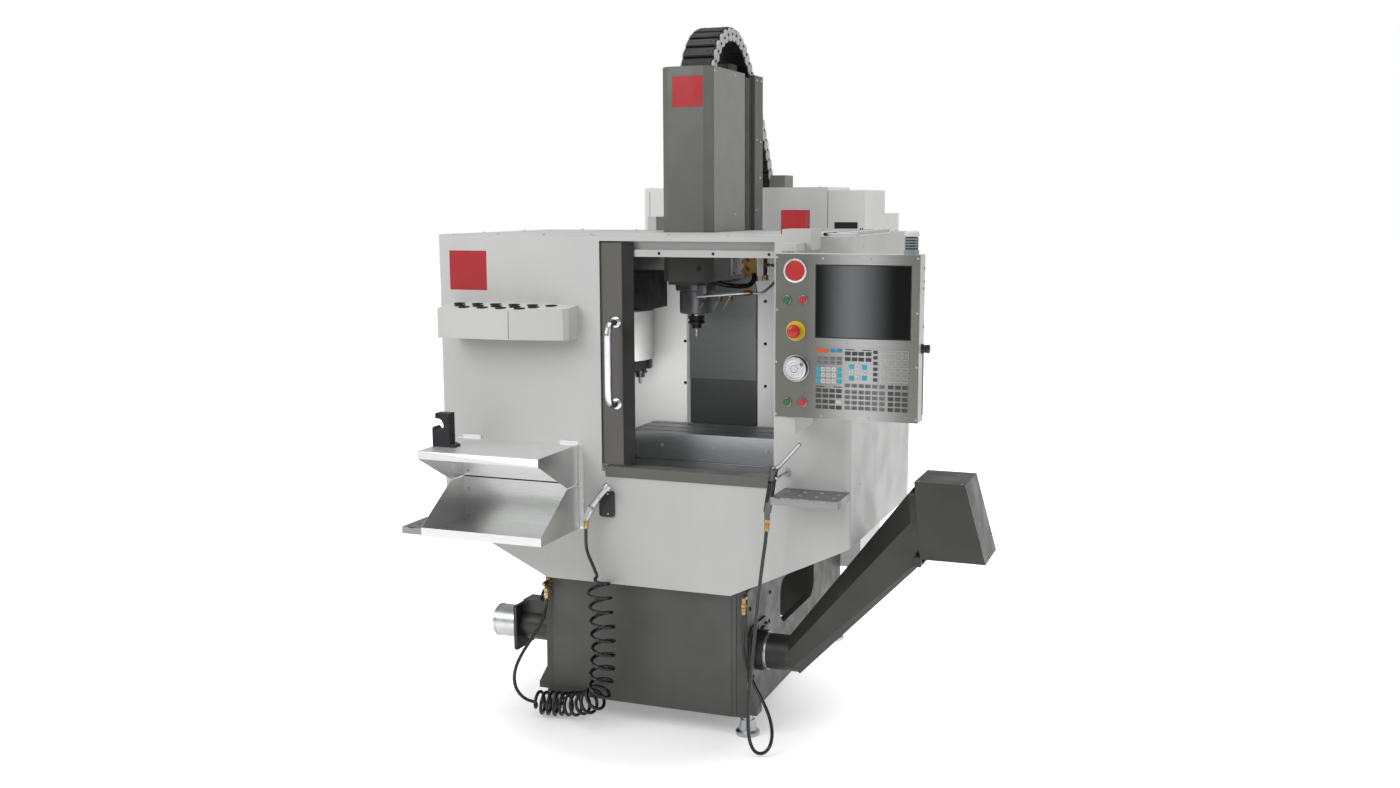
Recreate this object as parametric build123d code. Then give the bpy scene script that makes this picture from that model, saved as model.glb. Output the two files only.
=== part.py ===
from build123d import *
import math
import os

os.makedirs("parts", exist_ok=True)

# A small vertical machining centre. Millimetres: X to the right from the spindle axis,
# Y to the back from the front panel, Z up from the floor. Each finished piece is moved
# so that the origin is on the floor at the middle of the machine's footprint.

# Shared clearances
SHEET = 2.0
SEAM = 0.3
RUNNING_FIT = 0.05

# Enclosure
ENCLOSURE_HALF = 757.0
ENCLOSURE_TOP = 1722.0
ENCLOSURE_DEPTH = 872.0
SLOPE_TOP = 711.0
PAN_HEIGHT = 515.0
PAN_HALF = 346.0
CORNER_RADIUS = 20.0
FRONT_RETURN = 100.0
FLANGE = 20.0

# Door opening and sliding door
OPENING_LEFT = -125.0
OPENING_RIGHT = 498.0
OPENING_TOP = 1705.0
SILL_TOP = 932.0
SILL_DROP = 36.0
SILL_DEPTH = 60.0
DOOR_EDGE = -9.0
DOOR_WIDTH = 660.0
DOOR_LAP = 5.0
DOOR_FACE = 8.0
DOOR_FOLD = 37.0
DOOR_BOTTOM_GAP = 6.0
DOOR_TOP_GAP = 5.0
WINDOW_MARGIN = 120.0
WINDOW_RADIUS = 30.0
HANDLE_LENGTH = 280.0
HANDLE_STANDOFF = 70.0
HANDLE_RADIUS = 12.5
HANDLE_HEIGHT = 1291.0

# Base casting, its front plate and its feet
BASE_HALF = 385.0
BASE_FRONT = 64.0
BASE_BACK = 1280.0
BASE_BOTTOM = 65.0
BASE_WALL = 28.0
PEDESTAL_HALF = 240.0
PEDESTAL_FRONT = 252.0
PEDESTAL_TOP = 745.0
FRONT_PLATE_LEFT = -358.0
FRONT_PLATE_RIGHT = 329.0
FRONT_PLATE_TOP = 498.0
FOOT_X = 377.0
FOOT_FRONT_Y = 92.0
FOOT_BACK_Y = 1215.0
FOOT_RADIUS = 42.0
STUD_RADIUS = 12.0

# Chip auger, its tube, chute and hood
AUGER_Y = 170.0
AUGER_Z = 281.0
TUBE_RADIUS = 61.5
AUGER_SHAFT = 20.0
TUBE_WALL = 3.0
TUBE_END_X = 505.0
CHUTE_FOOT = (953.0, AUGER_Y, 637.0)
CHUTE_TOP = (930.0, AUGER_Y, 899.0)
CHUTE_WIDTH = 140.0
HOOD_TOP_LEFT = 952.0
HOOD_LOW_LEFT = 976.0
HOOD_TOP = 938.0
HOOD_BOTTOM = 683.0
HOOD_FRONT = 65.0
HOOD_DEPTH = 215.0

# Table, saddle and their travel
TRAVEL_X = 406.0
TRAVEL_Y = 305.0
TRAVEL_Z = 254.0
TABLE_LENGTH = 730.0
TABLE_WIDTH = 250.0
TABLE_TOP = 1005.0
TABLE_HEIGHT = 98.0
TABLE_BOTTOM = TABLE_TOP - TABLE_HEIGHT
TABLE_Y = 436.0
TABLE_RAIL_Y = 85.0
SADDLE_HALF = 160.0
SADDLE_RAIL_X = 150.0
SCREW_RADIUS = 10.0
SLOT_PITCH = 80.0
SLOT_WIDTH = 16.0
SLOT_HEAD = 27.0
SLOT_DEPTH = 28.0
SLOT_HEAD_HEIGHT = 12.0

# Spindle and head
SPINDLE_Y = 590.0
NOSE_Z = 1419.0
HEAD_BOTTOM = 1529.0
HEAD_HALF = 80.0
HEAD_FRONT = 500.0
HEAD_BACK = 862.0
HEAD_TOP = 1990.0
MOTOR_SEAT = 1800.0
MOTOR_Y = 738.0
COVER_HALF = 100.0
COVER_FRONT = 485.0
COVER_BACK = 857.0
COVER_CHAMFER = 30.0
COVER_BOTTOM = 1542.0
COVER_TOP = 2321.0
CARTRIDGE_RADIUS = 63.0
CARTRIDGE_FLANGE = 78.0
SHAFT_RADIUS = 33.0
HOLDER_RADIUS = 31.75
TOOL_TIP = 1332.0
CUTTER_RADIUS = 6.0

# Column, rails and way covers
COLUMN_FRONT = 905.0
COLUMN_BACK = 1230.0
COLUMN_HALF = 165.0
COLUMN_TOP_HALF = 86.0
COLUMN_NECK = 1560.0
COLUMN_TOP = 2312.0
COLUMN_SPINE = 1010.0
COLUMN_COVER_HALF = 100.0
COLUMN_COVER_FRONT = 977.0
COLUMN_COVER_BACK = 1076.0
COLUMN_COVER_TOP = 2325.0
GROOVE_HALF = 34.0
GROOVE_DEPTH = 40.0
HEAD_SCREW_RADIUS = 12.0
RAIL_BOTTOM = 1160.0
RAIL_X = 60.0
RAIL_WIDTH = 20.0
RAIL_HEIGHT = 20.0
WAY_HALF = 140.0
WAY_FRONT = 870.0
WAY_STEP = 5.0
FRONT_COVER_HALF = 178.0
FRONT_COVER_TOP = 814.0

# Cable carrier from the head to the cabinet
CARRIER_HALF = 60.0
CARRIER_THICK = 50.0
CARRIER_PITCH = 45.0
CARRIER_RADIUS = 220.0
CARRIER_Y = 825.0
CARRIER_Z = 2246.0
CARRIER_FRONT_Y = CARRIER_Y - CARRIER_RADIUS
CARRIER_LOW = 1860.0
CARRIER_LEAVE = 42.0
CARRIER_FOOT_Z = 1893.0
CARRIER_SAG = 1.6

# Hoses and guns
WASH_LEVER_REACH = 19.0
AIR_LEVER_REACH = 20.0
HOSE_RADIUS = 6.0
COIL_RADIUS = 46.0

# Tool changer
DRUM_X = -431.0
DRUM_Y = 600.0
DRUM_RADIUS = 235.0
DRUM_TOP = 1430.0
DRUM_HEIGHT = 194.0
POCKET_COUNT = 10
POCKET_RING = 181.0
HOUSING_RIGHT = -156.0
HOUSING_TOP = 1575.0
HOUSING_BOTTOM = 1435.0
GUIDE_ROD_Y = 45.0
GUIDE_ROD_Z = 1530.0
GUIDE_ROD_RADIUS = 10.0

# Pendant
PENDANT_LEFT = 598.0
PENDANT_WIDTH = 438.0
PENDANT_BOTTOM = 1188.0
PENDANT_HEIGHT = 492.0
PENDANT_FRONT = -300.0
PENDANT_DEPTH = 80.0
FACE_PLATE = 3.0
SCREEN_LEFT = 722.0
SCREEN_WIDTH = 290.0
SCREEN_BOTTOM = 1431.0
SCREEN_HEIGHT = 219.0
POST_X = 597.0
POST_Y = -170.0
POST_RADIUS = 20.0
ARM_TOP = 1168.0
UPPER_ARM_BOTTOM = 1684.0

# Control cabinet at the back
CABINET_LEFT = -503.0
CABINET_RIGHT = 471.0
CABINET_FRONT = 1280.0
CABINET_DEPTH = 350.0
CABINET_BOTTOM = 300.0
CABINET_TOP = 1880.0

# The machine's footprint without its hoses
LEFT_END = -ENCLOSURE_HALF
RIGHT_END = 1187.0
FRONT_END = -338.0
BACK_END = 1720.0
CENTRE_SHIFT = Pos(-(LEFT_END + RIGHT_END) / 2, -(FRONT_END + BACK_END) / 2, 0)


def put(name, shape):
    solids = shape.solids()
    piece = solids[0] if len(solids) == 1 else Compound(children=list(solids))
    export_step(CENTRE_SHIFT * piece, "parts/" + name + ".step")


def block(x_span, y_span, z_span):
    size = (x_span[1] - x_span[0], y_span[1] - y_span[0], z_span[1] - z_span[0])
    return Pos(x_span[0], y_span[0], z_span[0]) * Box(*size, align=(Align.MIN,) * 3)


def along_x(points, start, end):
    return extrude(Plane.YZ.offset(start) * Polygon(*points, align=None), end - start, dir=(1, 0, 0))


def along_y(points, start, end):
    return extrude(Plane.XZ.offset(-start) * Polygon(*points, align=None), end - start, dir=(0, 1, 0))


def along_z(points, start, end):
    return extrude(Plane.XY.offset(start) * Polygon(*points, align=None), end - start, dir=(0, 0, 1))


def rod(start, end, radius):
    axis = Vector(*end) - Vector(*start)
    cylinder = Cylinder(radius, axis.length, align=(Align.CENTER, Align.CENTER, Align.MIN))
    return Plane(origin=start, z_dir=axis) * cylinder


def turned(profile, x, y):
    # Revolves a (radius, height) profile round the vertical line at x, y.
    return Pos(x, y, 0) * revolve(Plane.XZ * Polygon(*profile, align=None), Axis.Z)


def turned_forward(profile, x, z, y):
    # Revolves a (radius, distance) profile round the line that points to the front.
    body = revolve(Plane.XZ * Polygon(*profile, align=None), Axis.Z)
    return Pos(x, y, z) * Rot(90, 0, 0) * body


def mirrored(shape):
    return mirror(shape, Plane.YZ)


def bend_radii(points):
    radii = []
    for before, corner, after in zip(points, points[1:], points[2:]):
        run_in = Vector(*corner) - Vector(*before)
        run_out = Vector(*after) - Vector(*corner)
        half_turn = math.radians(run_in.get_angle(run_out)) / 2
        radii.append(0.45 * min(run_in.length, run_out.length) / math.tan(half_turn))
    return radii


def tube(points, radius):
    path = FilletPolyline(*points, radius=bend_radii(points))
    section = Plane(origin=path @ 0, z_dir=path % 0) * Circle(radius)
    return sweep(section, path=path)


def enclosure_outline(half, top):
    return [(-PAN_HALF, PAN_HEIGHT), (PAN_HALF, PAN_HEIGHT), (half, SLOPE_TOP),
            (half, top), (-half, top), (-half, SLOPE_TOP)]


def corner_section(half, front, back, radius):
    plan = Polygon((-half, back), (-half, front), (half, front), (half, back), align=None)
    corners = plan.vertices().filter_by(lambda vertex: abs(vertex.Y - front) < 0.1)
    return fillet(corners, radius)


def make_front_panel():
    outer = corner_section(ENCLOSURE_HALF, 0, FRONT_RETURN, CORNER_RADIUS)
    inner = corner_section(ENCLOSURE_HALF - SHEET, SHEET, FRONT_RETURN + 1, CORNER_RADIUS - SHEET)
    section = Plane.XY.offset(PAN_HEIGHT) * (outer - inner)
    panel = extrude(section, ENCLOSURE_TOP - PAN_HEIGHT, dir=(0, 0, 1))
    panel &= along_y(enclosure_outline(ENCLOSURE_HALF, ENCLOSURE_TOP), -1, FRONT_RETURN + 1)
    cut_bottom = SILL_TOP - SILL_DROP / 2
    panel -= block((OPENING_LEFT, OPENING_RIGHT), (-1, SHEET + 1), (cut_bottom, OPENING_TOP))
    inside = ENCLOSURE_HALF - CORNER_RADIUS
    panel += block((-inside, inside), (0, FLANGE), (ENCLOSURE_TOP - SHEET, ENCLOSURE_TOP))
    put("front_panel", panel)


def make_side_panels():
    outside = ENCLOSURE_HALF
    points = [(outside, SLOPE_TOP), (outside, ENCLOSURE_TOP), (outside - FLANGE, ENCLOSURE_TOP),
              (outside - FLANGE, ENCLOSURE_TOP - SHEET), (outside - SHEET, ENCLOSURE_TOP - SHEET),
              (outside - SHEET, SLOPE_TOP)]
    panel = along_y(points, FRONT_RETURN + SEAM, ENCLOSURE_DEPTH)
    return panel, mirrored(panel)


def make_body_panels():
    sides = make_side_panels()
    half = ENCLOSURE_HALF - SHEET
    back = ENCLOSURE_DEPTH - SHEET
    panel = along_y(enclosure_outline(half, ENCLOSURE_TOP), back, ENCLOSURE_DEPTH)
    slot = WAY_HALF + 10
    panel -= block((-slot, slot), (back - 1, back + 3), (PAN_HEIGHT - 1, ENCLOSURE_TOP + 1))
    pedestal = PEDESTAL_HALF + 4
    panel -= block((-pedestal, pedestal), (back - 1, back + 3), (PAN_HEIGHT - 1, PEDESTAL_TOP + RAIL_HEIGHT + 4))
    put("body_panels", Compound(children=[*sides, *panel.solids()]))


def make_roof():
    plan = corner_section(ENCLOSURE_HALF, 0, ENCLOSURE_DEPTH, CORNER_RADIUS)
    roof = extrude(Plane.XY.offset(ENCLOSURE_TOP) * plan, SHEET, dir=(0, 0, 1))
    gap = COVER_HALF + 18
    front = COVER_FRONT - 18
    roof -= block((-gap, gap), (front, ENCLOSURE_DEPTH + 1), (ENCLOSURE_TOP - 1, ENCLOSURE_TOP + 3))
    half = COLUMN_COVER_HALF
    column_cover = block((-half, half), (COLUMN_COVER_FRONT, COLUMN_COVER_BACK), (1650, COLUMN_COVER_TOP))
    column_cover -= block((-half + SHEET, half - SHEET), (COLUMN_COVER_FRONT + SHEET, COLUMN_COVER_BACK - SHEET),
                          (1649, COLUMN_COVER_TOP - SHEET))
    throat = COLUMN_TOP_HALF + SEAM
    column_cover -= block((-throat, throat), (COLUMN_COVER_FRONT - 1, COLUMN_COVER_FRONT + SHEET + 1),
                          (1649, COLUMN_COVER_TOP + 1))
    slot = CARRIER_HALF + 8
    column_cover -= block((-slot, slot), (COLUMN_COVER_FRONT - 1, COLUMN_COVER_BACK + 1), (2140, COLUMN_COVER_TOP + 1))
    red_box = block((424, 509), (300, 362), (ENCLOSURE_TOP + SHEET, 1806))
    corner_box = block((-282, -246), (790, ENCLOSURE_DEPTH - SHEET), (ENCLOSURE_TOP + SHEET, 1777))
    put("roof_panels", Compound(children=[*roof.solids(), *column_cover.solids(), red_box, corner_box]))


def make_chip_pan():
    wall = ENCLOSURE_HALF - SHEET
    lower = [(-wall, SLOPE_TOP + FLANGE), (-wall, SLOPE_TOP + 1), (-PAN_HALF, PAN_HEIGHT),
             (PAN_HALF, PAN_HEIGHT), (wall, SLOPE_TOP + 1), (wall, SLOPE_TOP + FLANGE)]
    upper = [(wall - SHEET, SLOPE_TOP + FLANGE), (wall - SHEET, SLOPE_TOP + 1 + SHEET),
             (PAN_HALF - 0.5, PAN_HEIGHT + SHEET), (-PAN_HALF + 0.5, PAN_HEIGHT + SHEET),
             (-wall + SHEET, SLOPE_TOP + 1 + SHEET), (-wall + SHEET, SLOPE_TOP + FLANGE)]
    pan = along_y(lower + upper, SHEET + SEAM, ENCLOSURE_DEPTH - SHEET - SEAM)
    trough = TUBE_RADIUS + 4
    pan -= block((-PAN_HALF + 6, PAN_HALF - 6), (AUGER_Y - trough, AUGER_Y + trough),
                 (PAN_HEIGHT - 1, PAN_HEIGHT + 3))
    pedestal = PEDESTAL_HALF + 2
    pan -= block((-pedestal, pedestal), (PEDESTAL_FRONT - 2, ENCLOSURE_DEPTH),
                 (PAN_HEIGHT - 1, PAN_HEIGHT + 3))
    room = corner_section(wall, SHEET + SEAM, ENCLOSURE_DEPTH, CORNER_RADIUS)
    pan &= extrude(Plane.XY.offset(PAN_HEIGHT - 1) * room, SLOPE_TOP + FLANGE, dir=(0, 0, 1))
    put("chip_pan", pan)


def make_sill_and_track():
    low = SILL_TOP - SILL_DROP
    sill = [(-3, low), (-3, SILL_TOP), (SILL_DEPTH, SILL_TOP), (SILL_DEPTH, SILL_TOP - 14),
            (SILL_DEPTH - 3, SILL_TOP - 14), (SILL_DEPTH - 3, SILL_TOP - 3), (0, SILL_TOP - 3), (0, low)]
    put("door_sill", along_x(sill, OPENING_LEFT + 14, OPENING_RIGHT))
    top = ENCLOSURE_TOP - SHEET
    track = [(30, 1676), (30, 1652), (48, 1652), (48, top), (FLANGE - 4, top), (FLANGE - 4, top - 3),
             (45, top - 3), (45, 1655), (33, 1655), (33, 1676)]
    put("door_track", along_x(track, -745, OPENING_RIGHT + 14))


def make_door():
    left = DOOR_EDGE - DOOR_WIDTH
    fold = DOOR_EDGE - DOOR_FOLD
    bottom = SILL_TOP + DOOR_BOTTOM_GAP
    top = OPENING_TOP - DOOR_TOP_GAP
    face = DOOR_FACE
    section = [(left, face + 20), (left, face), (fold, face), (DOOR_EDGE, face + 16),
               (DOOR_EDGE, face + 18), (fold, face + SHEET), (left + SHEET, face + SHEET),
               (left + SHEET, face + 20)]
    door = along_z(section, bottom, top)
    window_x = (left + WINDOW_MARGIN / 2, fold - WINDOW_MARGIN)
    window_z = (bottom + WINDOW_MARGIN, top - WINDOW_MARGIN / 2)
    window = Rectangle(window_x[1] - window_x[0], window_z[1] - window_z[0])
    window = fillet(window.vertices(), WINDOW_RADIUS)
    middle = Pos(sum(window_x) / 2, face - 1, sum(window_z) / 2)
    door -= middle * extrude(Plane.XZ * window, 4, dir=(0, 1, 0))
    for x in (left + 40, fold - 100):
        hanger = [(face + SHEET, top - 8), (face + SHEET, top), (43, top), (43, 1655.3), (35, 1655.3),
                  (35, top - 8)]
        door += along_x(hanger, x, x + 60)
    put("door_frame", door)
    pane = block((window_x[0] - 12, window_x[1] + 12), (face + SHEET, face + SHEET + 5),
                 (window_z[0] - 12, window_z[1] + 12))
    put("door_window", pane)
    handle_x = fold - 22
    ends = (HANDLE_HEIGHT - HANDLE_LENGTH / 2, HANDLE_HEIGHT + HANDLE_LENGTH / 2)
    out = face - HANDLE_STANDOFF
    path = FilletPolyline((handle_x, face, ends[0]), (handle_x, out, ends[0]), (handle_x, out, ends[1]),
                          (handle_x, face, ends[1]), radius=40)
    grip = sweep(Plane(origin=path @ 0, z_dir=path % 0) * Circle(HANDLE_RADIUS), path=path)
    for z in ends:
        grip += rod((handle_x, face, z), (handle_x, face - 6, z), HANDLE_RADIUS + 6)
    put("door_handle", grip)


POCKET_PITCH = 72.0
POCKET_RADIUS = 20.0


def make_tool_tray():
    plan = [(-690, 0), (-690, -120), (-682, -134), (-411, -128), (-225, -84), (-211, -66), (-208, 0)]
    bottom, back_top, front_top, wall = 1371, 1486, 1472, 4
    body = along_z(plan, bottom, back_top)
    inner = offset(Polygon(*plan, align=None), -wall)
    body -= extrude(Plane.XY.offset(bottom - 1) * inner, front_top - wall - bottom, dir=(0, 0, 1))
    body -= along_x([(1, back_top), (-140, front_top), (-140, back_top + 1), (1, back_top + 1)], -700, -200)
    for count, start, y in ((6, -655, -28), (5, -632, -64), (4, -598, -95)):
        for index in range(count):
            x = start + POCKET_PITCH * index
            body -= rod((x, y, front_top - 20), (x, y, back_top + 1), POCKET_RADIUS)
    put("tool_tray", body)


SHELF_LEFT = -675.0
SHELF_RIGHT = -215.0
SHELF_TOP = 1001.0
SHELF_DEPTH = 300.0
SHELF_SPLIT = 861.0
SHELF_WAIST = 90.0
SHELF_LIP = 27.0
BIN_FLOOR = 706.0


def side_plates(outline, sheet=SHEET):
    left = along_x(outline, SHELF_LEFT, SHELF_LEFT + sheet)
    right = along_x(outline, SHELF_RIGHT - sheet, SHELF_RIGHT)
    return left + right


def make_shelves():
    span = (SHELF_LEFT, SHELF_RIGHT)
    low = SHELF_TOP - SHELF_LIP
    front = -SHELF_DEPTH
    plate = [(0, SHELF_TOP), (front, SHELF_TOP), (front, low), (front + SHEET, low),
             (front + SHEET, SHELF_TOP - SHEET), (-SHEET, SHELF_TOP - SHEET), (-SHEET, SHELF_SPLIT + 2),
             (0, SHELF_SPLIT + 2)]
    gusset = [(0, SHELF_TOP), (front, SHELF_TOP), (front, low), (-SHELF_WAIST, SHELF_SPLIT + 2),
              (0, SHELF_SPLIT + 2)]
    shelf = along_x(plate, *span) + side_plates(gusset)
    lip_top = BIN_FLOOR + SHELF_LIP
    trough = [(0, SHELF_SPLIT - 2), (-SHEET, SHELF_SPLIT - 2), (-SHEET, BIN_FLOOR), (front + 12, BIN_FLOOR),
              (front + 12, lip_top), (front + 10, lip_top), (front + 10, BIN_FLOOR - SHEET),
              (0, BIN_FLOOR - SHEET)]
    end = [(0, SHELF_SPLIT - 2), (-SHELF_WAIST, SHELF_SPLIT - 2), (front + 10, lip_top),
           (front + 10, BIN_FLOOR - SHEET), (0, BIN_FLOOR - SHEET)]
    lower = along_x(trough, *span) + side_plates(end)
    put("shelf_unit", Compound(children=[*shelf.solids(), *lower.solids()]))


def make_tool_fixture():
    x, z = SHELF_LEFT + 3, SHELF_TOP
    body = [(x, z), (x + 86, z), (x + 86, z + 8), (x + 66, z + 14), (x + 66, z + 118), (x + 14, z + 118),
            (x + 12, z + 100), (x + 30, z + 98), (x + 40, z + 92), (x, z + 66)]
    clamp = along_y(body, -205, -165)
    clamp -= rod((x + 26, -206, z + 76), (x + 26, -164, z + 76), 19)
    put("tool_fixture", clamp)


def rack(x_span, depth, front, top, lip):
    back = front + depth
    tray = block(x_span, (front, back), (top - lip, top))
    tray -= block((x_span[0] + SHEET, x_span[1] - SHEET), (front + SHEET, back + 1), (top - lip - 1, top - SHEET))
    columns = int((x_span[1] - x_span[0] - 20) // 42)
    pitch = (x_span[1] - x_span[0]) / columns
    for column in range(columns):
        x = x_span[0] + pitch * (column + 0.5)
        tray -= block((x - 13, x + 13), (front - 1, front + 9), (top - 3, top + 1))
        for row in (0.35, 0.7):
            y = front + depth * row
            tray -= rod((x, y, top - 4), (x, y, top + 1), 9)
    return tray


def make_racks():
    right = rack((537, 759), 155, -155, 902, 25)
    left = rack((SHELF_LEFT - 76, SHELF_LEFT), 155, -290, 731, 24)
    put("side_racks", Compound(children=[*right.solids(), *left.solids()]))


def make_base():
    side = [(BASE_FRONT, BASE_BOTTOM), (BASE_BACK, BASE_BOTTOM), (BASE_BACK, PEDESTAL_TOP),
            (PEDESTAL_FRONT, PEDESTAL_TOP), (PEDESTAL_FRONT, PAN_HEIGHT), (BASE_FRONT, PAN_HEIGHT)]
    base = along_x(side, -BASE_HALF, BASE_HALF)
    for sign in (-1, 1):
        shoulder = sorted((sign * PEDESTAL_HALF, sign * (BASE_HALF + 1)))
        base -= block(shoulder, (PEDESTAL_FRONT - 1, BASE_BACK + 1), (PAN_HEIGHT, PEDESTAL_TOP + 1))
    inside = BASE_HALF - BASE_WALL
    trough = TUBE_RADIUS + 2
    base -= block((-inside, inside), (AUGER_Y - trough, AUGER_Y + trough), (AUGER_Z, PAN_HEIGHT + 1))
    base -= rod((-inside, AUGER_Y, AUGER_Z), (inside, AUGER_Y, AUGER_Z), trough)
    base -= rod((inside - 1, AUGER_Y, AUGER_Z), (BASE_HALF + 1, AUGER_Y, AUGER_Z), TUBE_RADIUS + SEAM)
    base -= rod((-BASE_HALF - 1, AUGER_Y, AUGER_Z), (-inside + 1, AUGER_Y, AUGER_Z), AUGER_SHAFT + RUNNING_FIT)
    cavity_front = AUGER_Y + trough + BASE_WALL
    base -= block((-PEDESTAL_HALF + BASE_WALL, PEDESTAL_HALF - BASE_WALL),
                  (PEDESTAL_FRONT + BASE_WALL, BASE_BACK - BASE_WALL), (BASE_BOTTOM - 1, PEDESTAL_TOP - BASE_WALL))
    base -= block((-inside, inside), (cavity_front, BASE_BACK - BASE_WALL),
                  (BASE_BOTTOM - 1, PAN_HEIGHT - BASE_WALL))
    base -= block((-inside, inside), (BASE_FRONT + BASE_WALL, cavity_front - BASE_WALL),
                  (BASE_BOTTOM - 1, AUGER_Z - trough - BASE_WALL))
    window = fillet(Rectangle(440, 170).vertices(), 60)
    window = extrude(Plane.YZ * window, 2 * BASE_HALF + 2, dir=(1, 0, 0))
    base -= Pos(-BASE_HALF - 1, 655, 375) * window
    for sign in (-1, 1):
        for y in (FOOT_FRONT_Y, FOOT_BACK_Y):
            lug = [(sign * (BASE_HALF - 60), BASE_BOTTOM + 12), (sign * (FOOT_X + FOOT_RADIUS), BASE_BOTTOM + 12),
                   (sign * (FOOT_X + FOOT_RADIUS), BASE_BOTTOM + 34), (sign * BASE_HALF, BASE_BOTTOM + 100),
                   (sign * (BASE_HALF - 60), BASE_BOTTOM + 100)]
            base += along_y(lug, y - 26, y + 30)
            base -= rod((sign * FOOT_X, y, BASE_BOTTOM), (sign * FOOT_X, y, BASE_BOTTOM + 150), STUD_RADIUS + SEAM)
            base -= rod((sign * FOOT_X, y, BASE_BOTTOM - 1), (sign * FOOT_X, y, BASE_BOTTOM + 12), 26)
    put("base_casting", base)
    edge = 16
    plate = block((FRONT_PLATE_LEFT, FRONT_PLATE_RIGHT), (BASE_FRONT - 4, BASE_FRONT), (BASE_BOTTOM, FRONT_PLATE_TOP))
    plate += block((FRONT_PLATE_RIGHT, FRONT_PLATE_RIGHT + edge), (BASE_FRONT - 2, BASE_FRONT),
                   (BASE_BOTTOM, FRONT_PLATE_TOP))
    put("base_front_plate", plate)


def make_feet():
    lug_bottom = BASE_BOTTOM + 12
    feet = []
    for x in (-FOOT_X, FOOT_X):
        for y in (FOOT_FRONT_Y, FOOT_BACK_Y):
            profile = [(0, 0), (FOOT_RADIUS, 0), (FOOT_RADIUS, 12), (32, 20), (24, 54), (20, 54), (20, lug_bottom),
                       (STUD_RADIUS, lug_bottom), (STUD_RADIUS, 150), (0, 150)]
            feet.append(turned(profile, x, y))
    put("leveling_feet", Compound(children=feet))


def make_auger():
    motor_face = -BASE_HALF
    flange_x = -520
    gearbox = rod((motor_face, AUGER_Y, AUGER_Z), (flange_x, AUGER_Y, AUGER_Z), 58)
    gearbox += along_x(square_outline(AUGER_Y, AUGER_Z, 84, 6), flange_x - 12, flange_x)
    gearbox += block((flange_x, -412), (AUGER_Y - 30, AUGER_Y + 44), (AUGER_Z + 40, AUGER_Z + 96))
    cap = rod((flange_x - 12, AUGER_Y, AUGER_Z), (-642, AUGER_Y, AUGER_Z), 60)
    cap = chamfer(cap.edges().group_by(Axis.X)[0], 8)
    put("auger_drive", gearbox + cap)
    bore = TUBE_RADIUS + SEAM
    coupling = along_x(square_outline(AUGER_Y, AUGER_Z, 100, 24), BASE_HALF, BASE_HALF + 8)
    coupling += rod((BASE_HALF + 8, AUGER_Y, AUGER_Z), (425, AUGER_Y, AUGER_Z), TUBE_RADIUS + 9)
    coupling += block((400, 414), (AUGER_Y - 10, AUGER_Y + 10), (AUGER_Z + TUBE_RADIUS, AUGER_Z + TUBE_RADIUS + 24))
    coupling -= rod((BASE_HALF - 1, AUGER_Y, AUGER_Z), (430, AUGER_Y, AUGER_Z), bore)
    start = BASE_HALF - BASE_WALL + 2
    pipe = rod((start, AUGER_Y, AUGER_Z), (TUBE_END_X, AUGER_Y, AUGER_Z), TUBE_RADIUS)
    pipe -= rod((start - 1, AUGER_Y, AUGER_Z), (TUBE_END_X + 1, AUGER_Y, AUGER_Z), TUBE_RADIUS - TUBE_WALL)
    put("auger_tube", Compound(children=[*pipe.solids(), *coupling.solids()]))
    shaft_start = motor_face + SEAM
    shaft_end = TUBE_END_X - 15
    screw = rod((shaft_start, AUGER_Y, AUGER_Z), (shaft_end, AUGER_Y, AUGER_Z), AUGER_SHAFT)
    pitch = 100
    flight_start = -340
    turns = int((shaft_end - flight_start) // pitch)
    helix = Helix(pitch, pitch * turns, 19, center=(flight_start, AUGER_Y, AUGER_Z), direction=(1, 0, 0))
    blade = Plane(origin=helix @ 0, x_dir=(helix @ 0) - Vector(flight_start, AUGER_Y, AUGER_Z), z_dir=helix % 0)
    height = TUBE_RADIUS - TUBE_WALL - 20 - 4
    flight = sweep(blade * Pos(height / 2, 0) * Rectangle(height + 2, 5), path=helix, is_frenet=True)
    put("auger_screw", screw + flight)


def square_outline(across, up, half, cut):
    # A square of half width `half` with its corners cut, in two coordinates.
    inner = half - cut
    return [(across - half, up - inner), (across - inner, up - half), (across + inner, up - half),
            (across + half, up - inner), (across + half, up + inner), (across + inner, up + half),
            (across - inner, up + half), (across - half, up + inner)]


def duct_section(foot, top, half_width, shrink, shape):
    # A section across the chute that stands on the point `foot` and reaches to `top`.
    rise = Vector(*top) - Vector(*foot)
    up = rise.normalized()
    plane = Plane(origin=foot, x_dir=(0, 1, 0), z_dir=Vector(up.Z, 0, -up.X))
    points = []
    for across, share in shape:
        reach = shrink + share * (rise.length - 2 * shrink)
        points.append((across * (half_width - shrink), reach))
    return plane * Polygon(*points, align=None)


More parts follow.
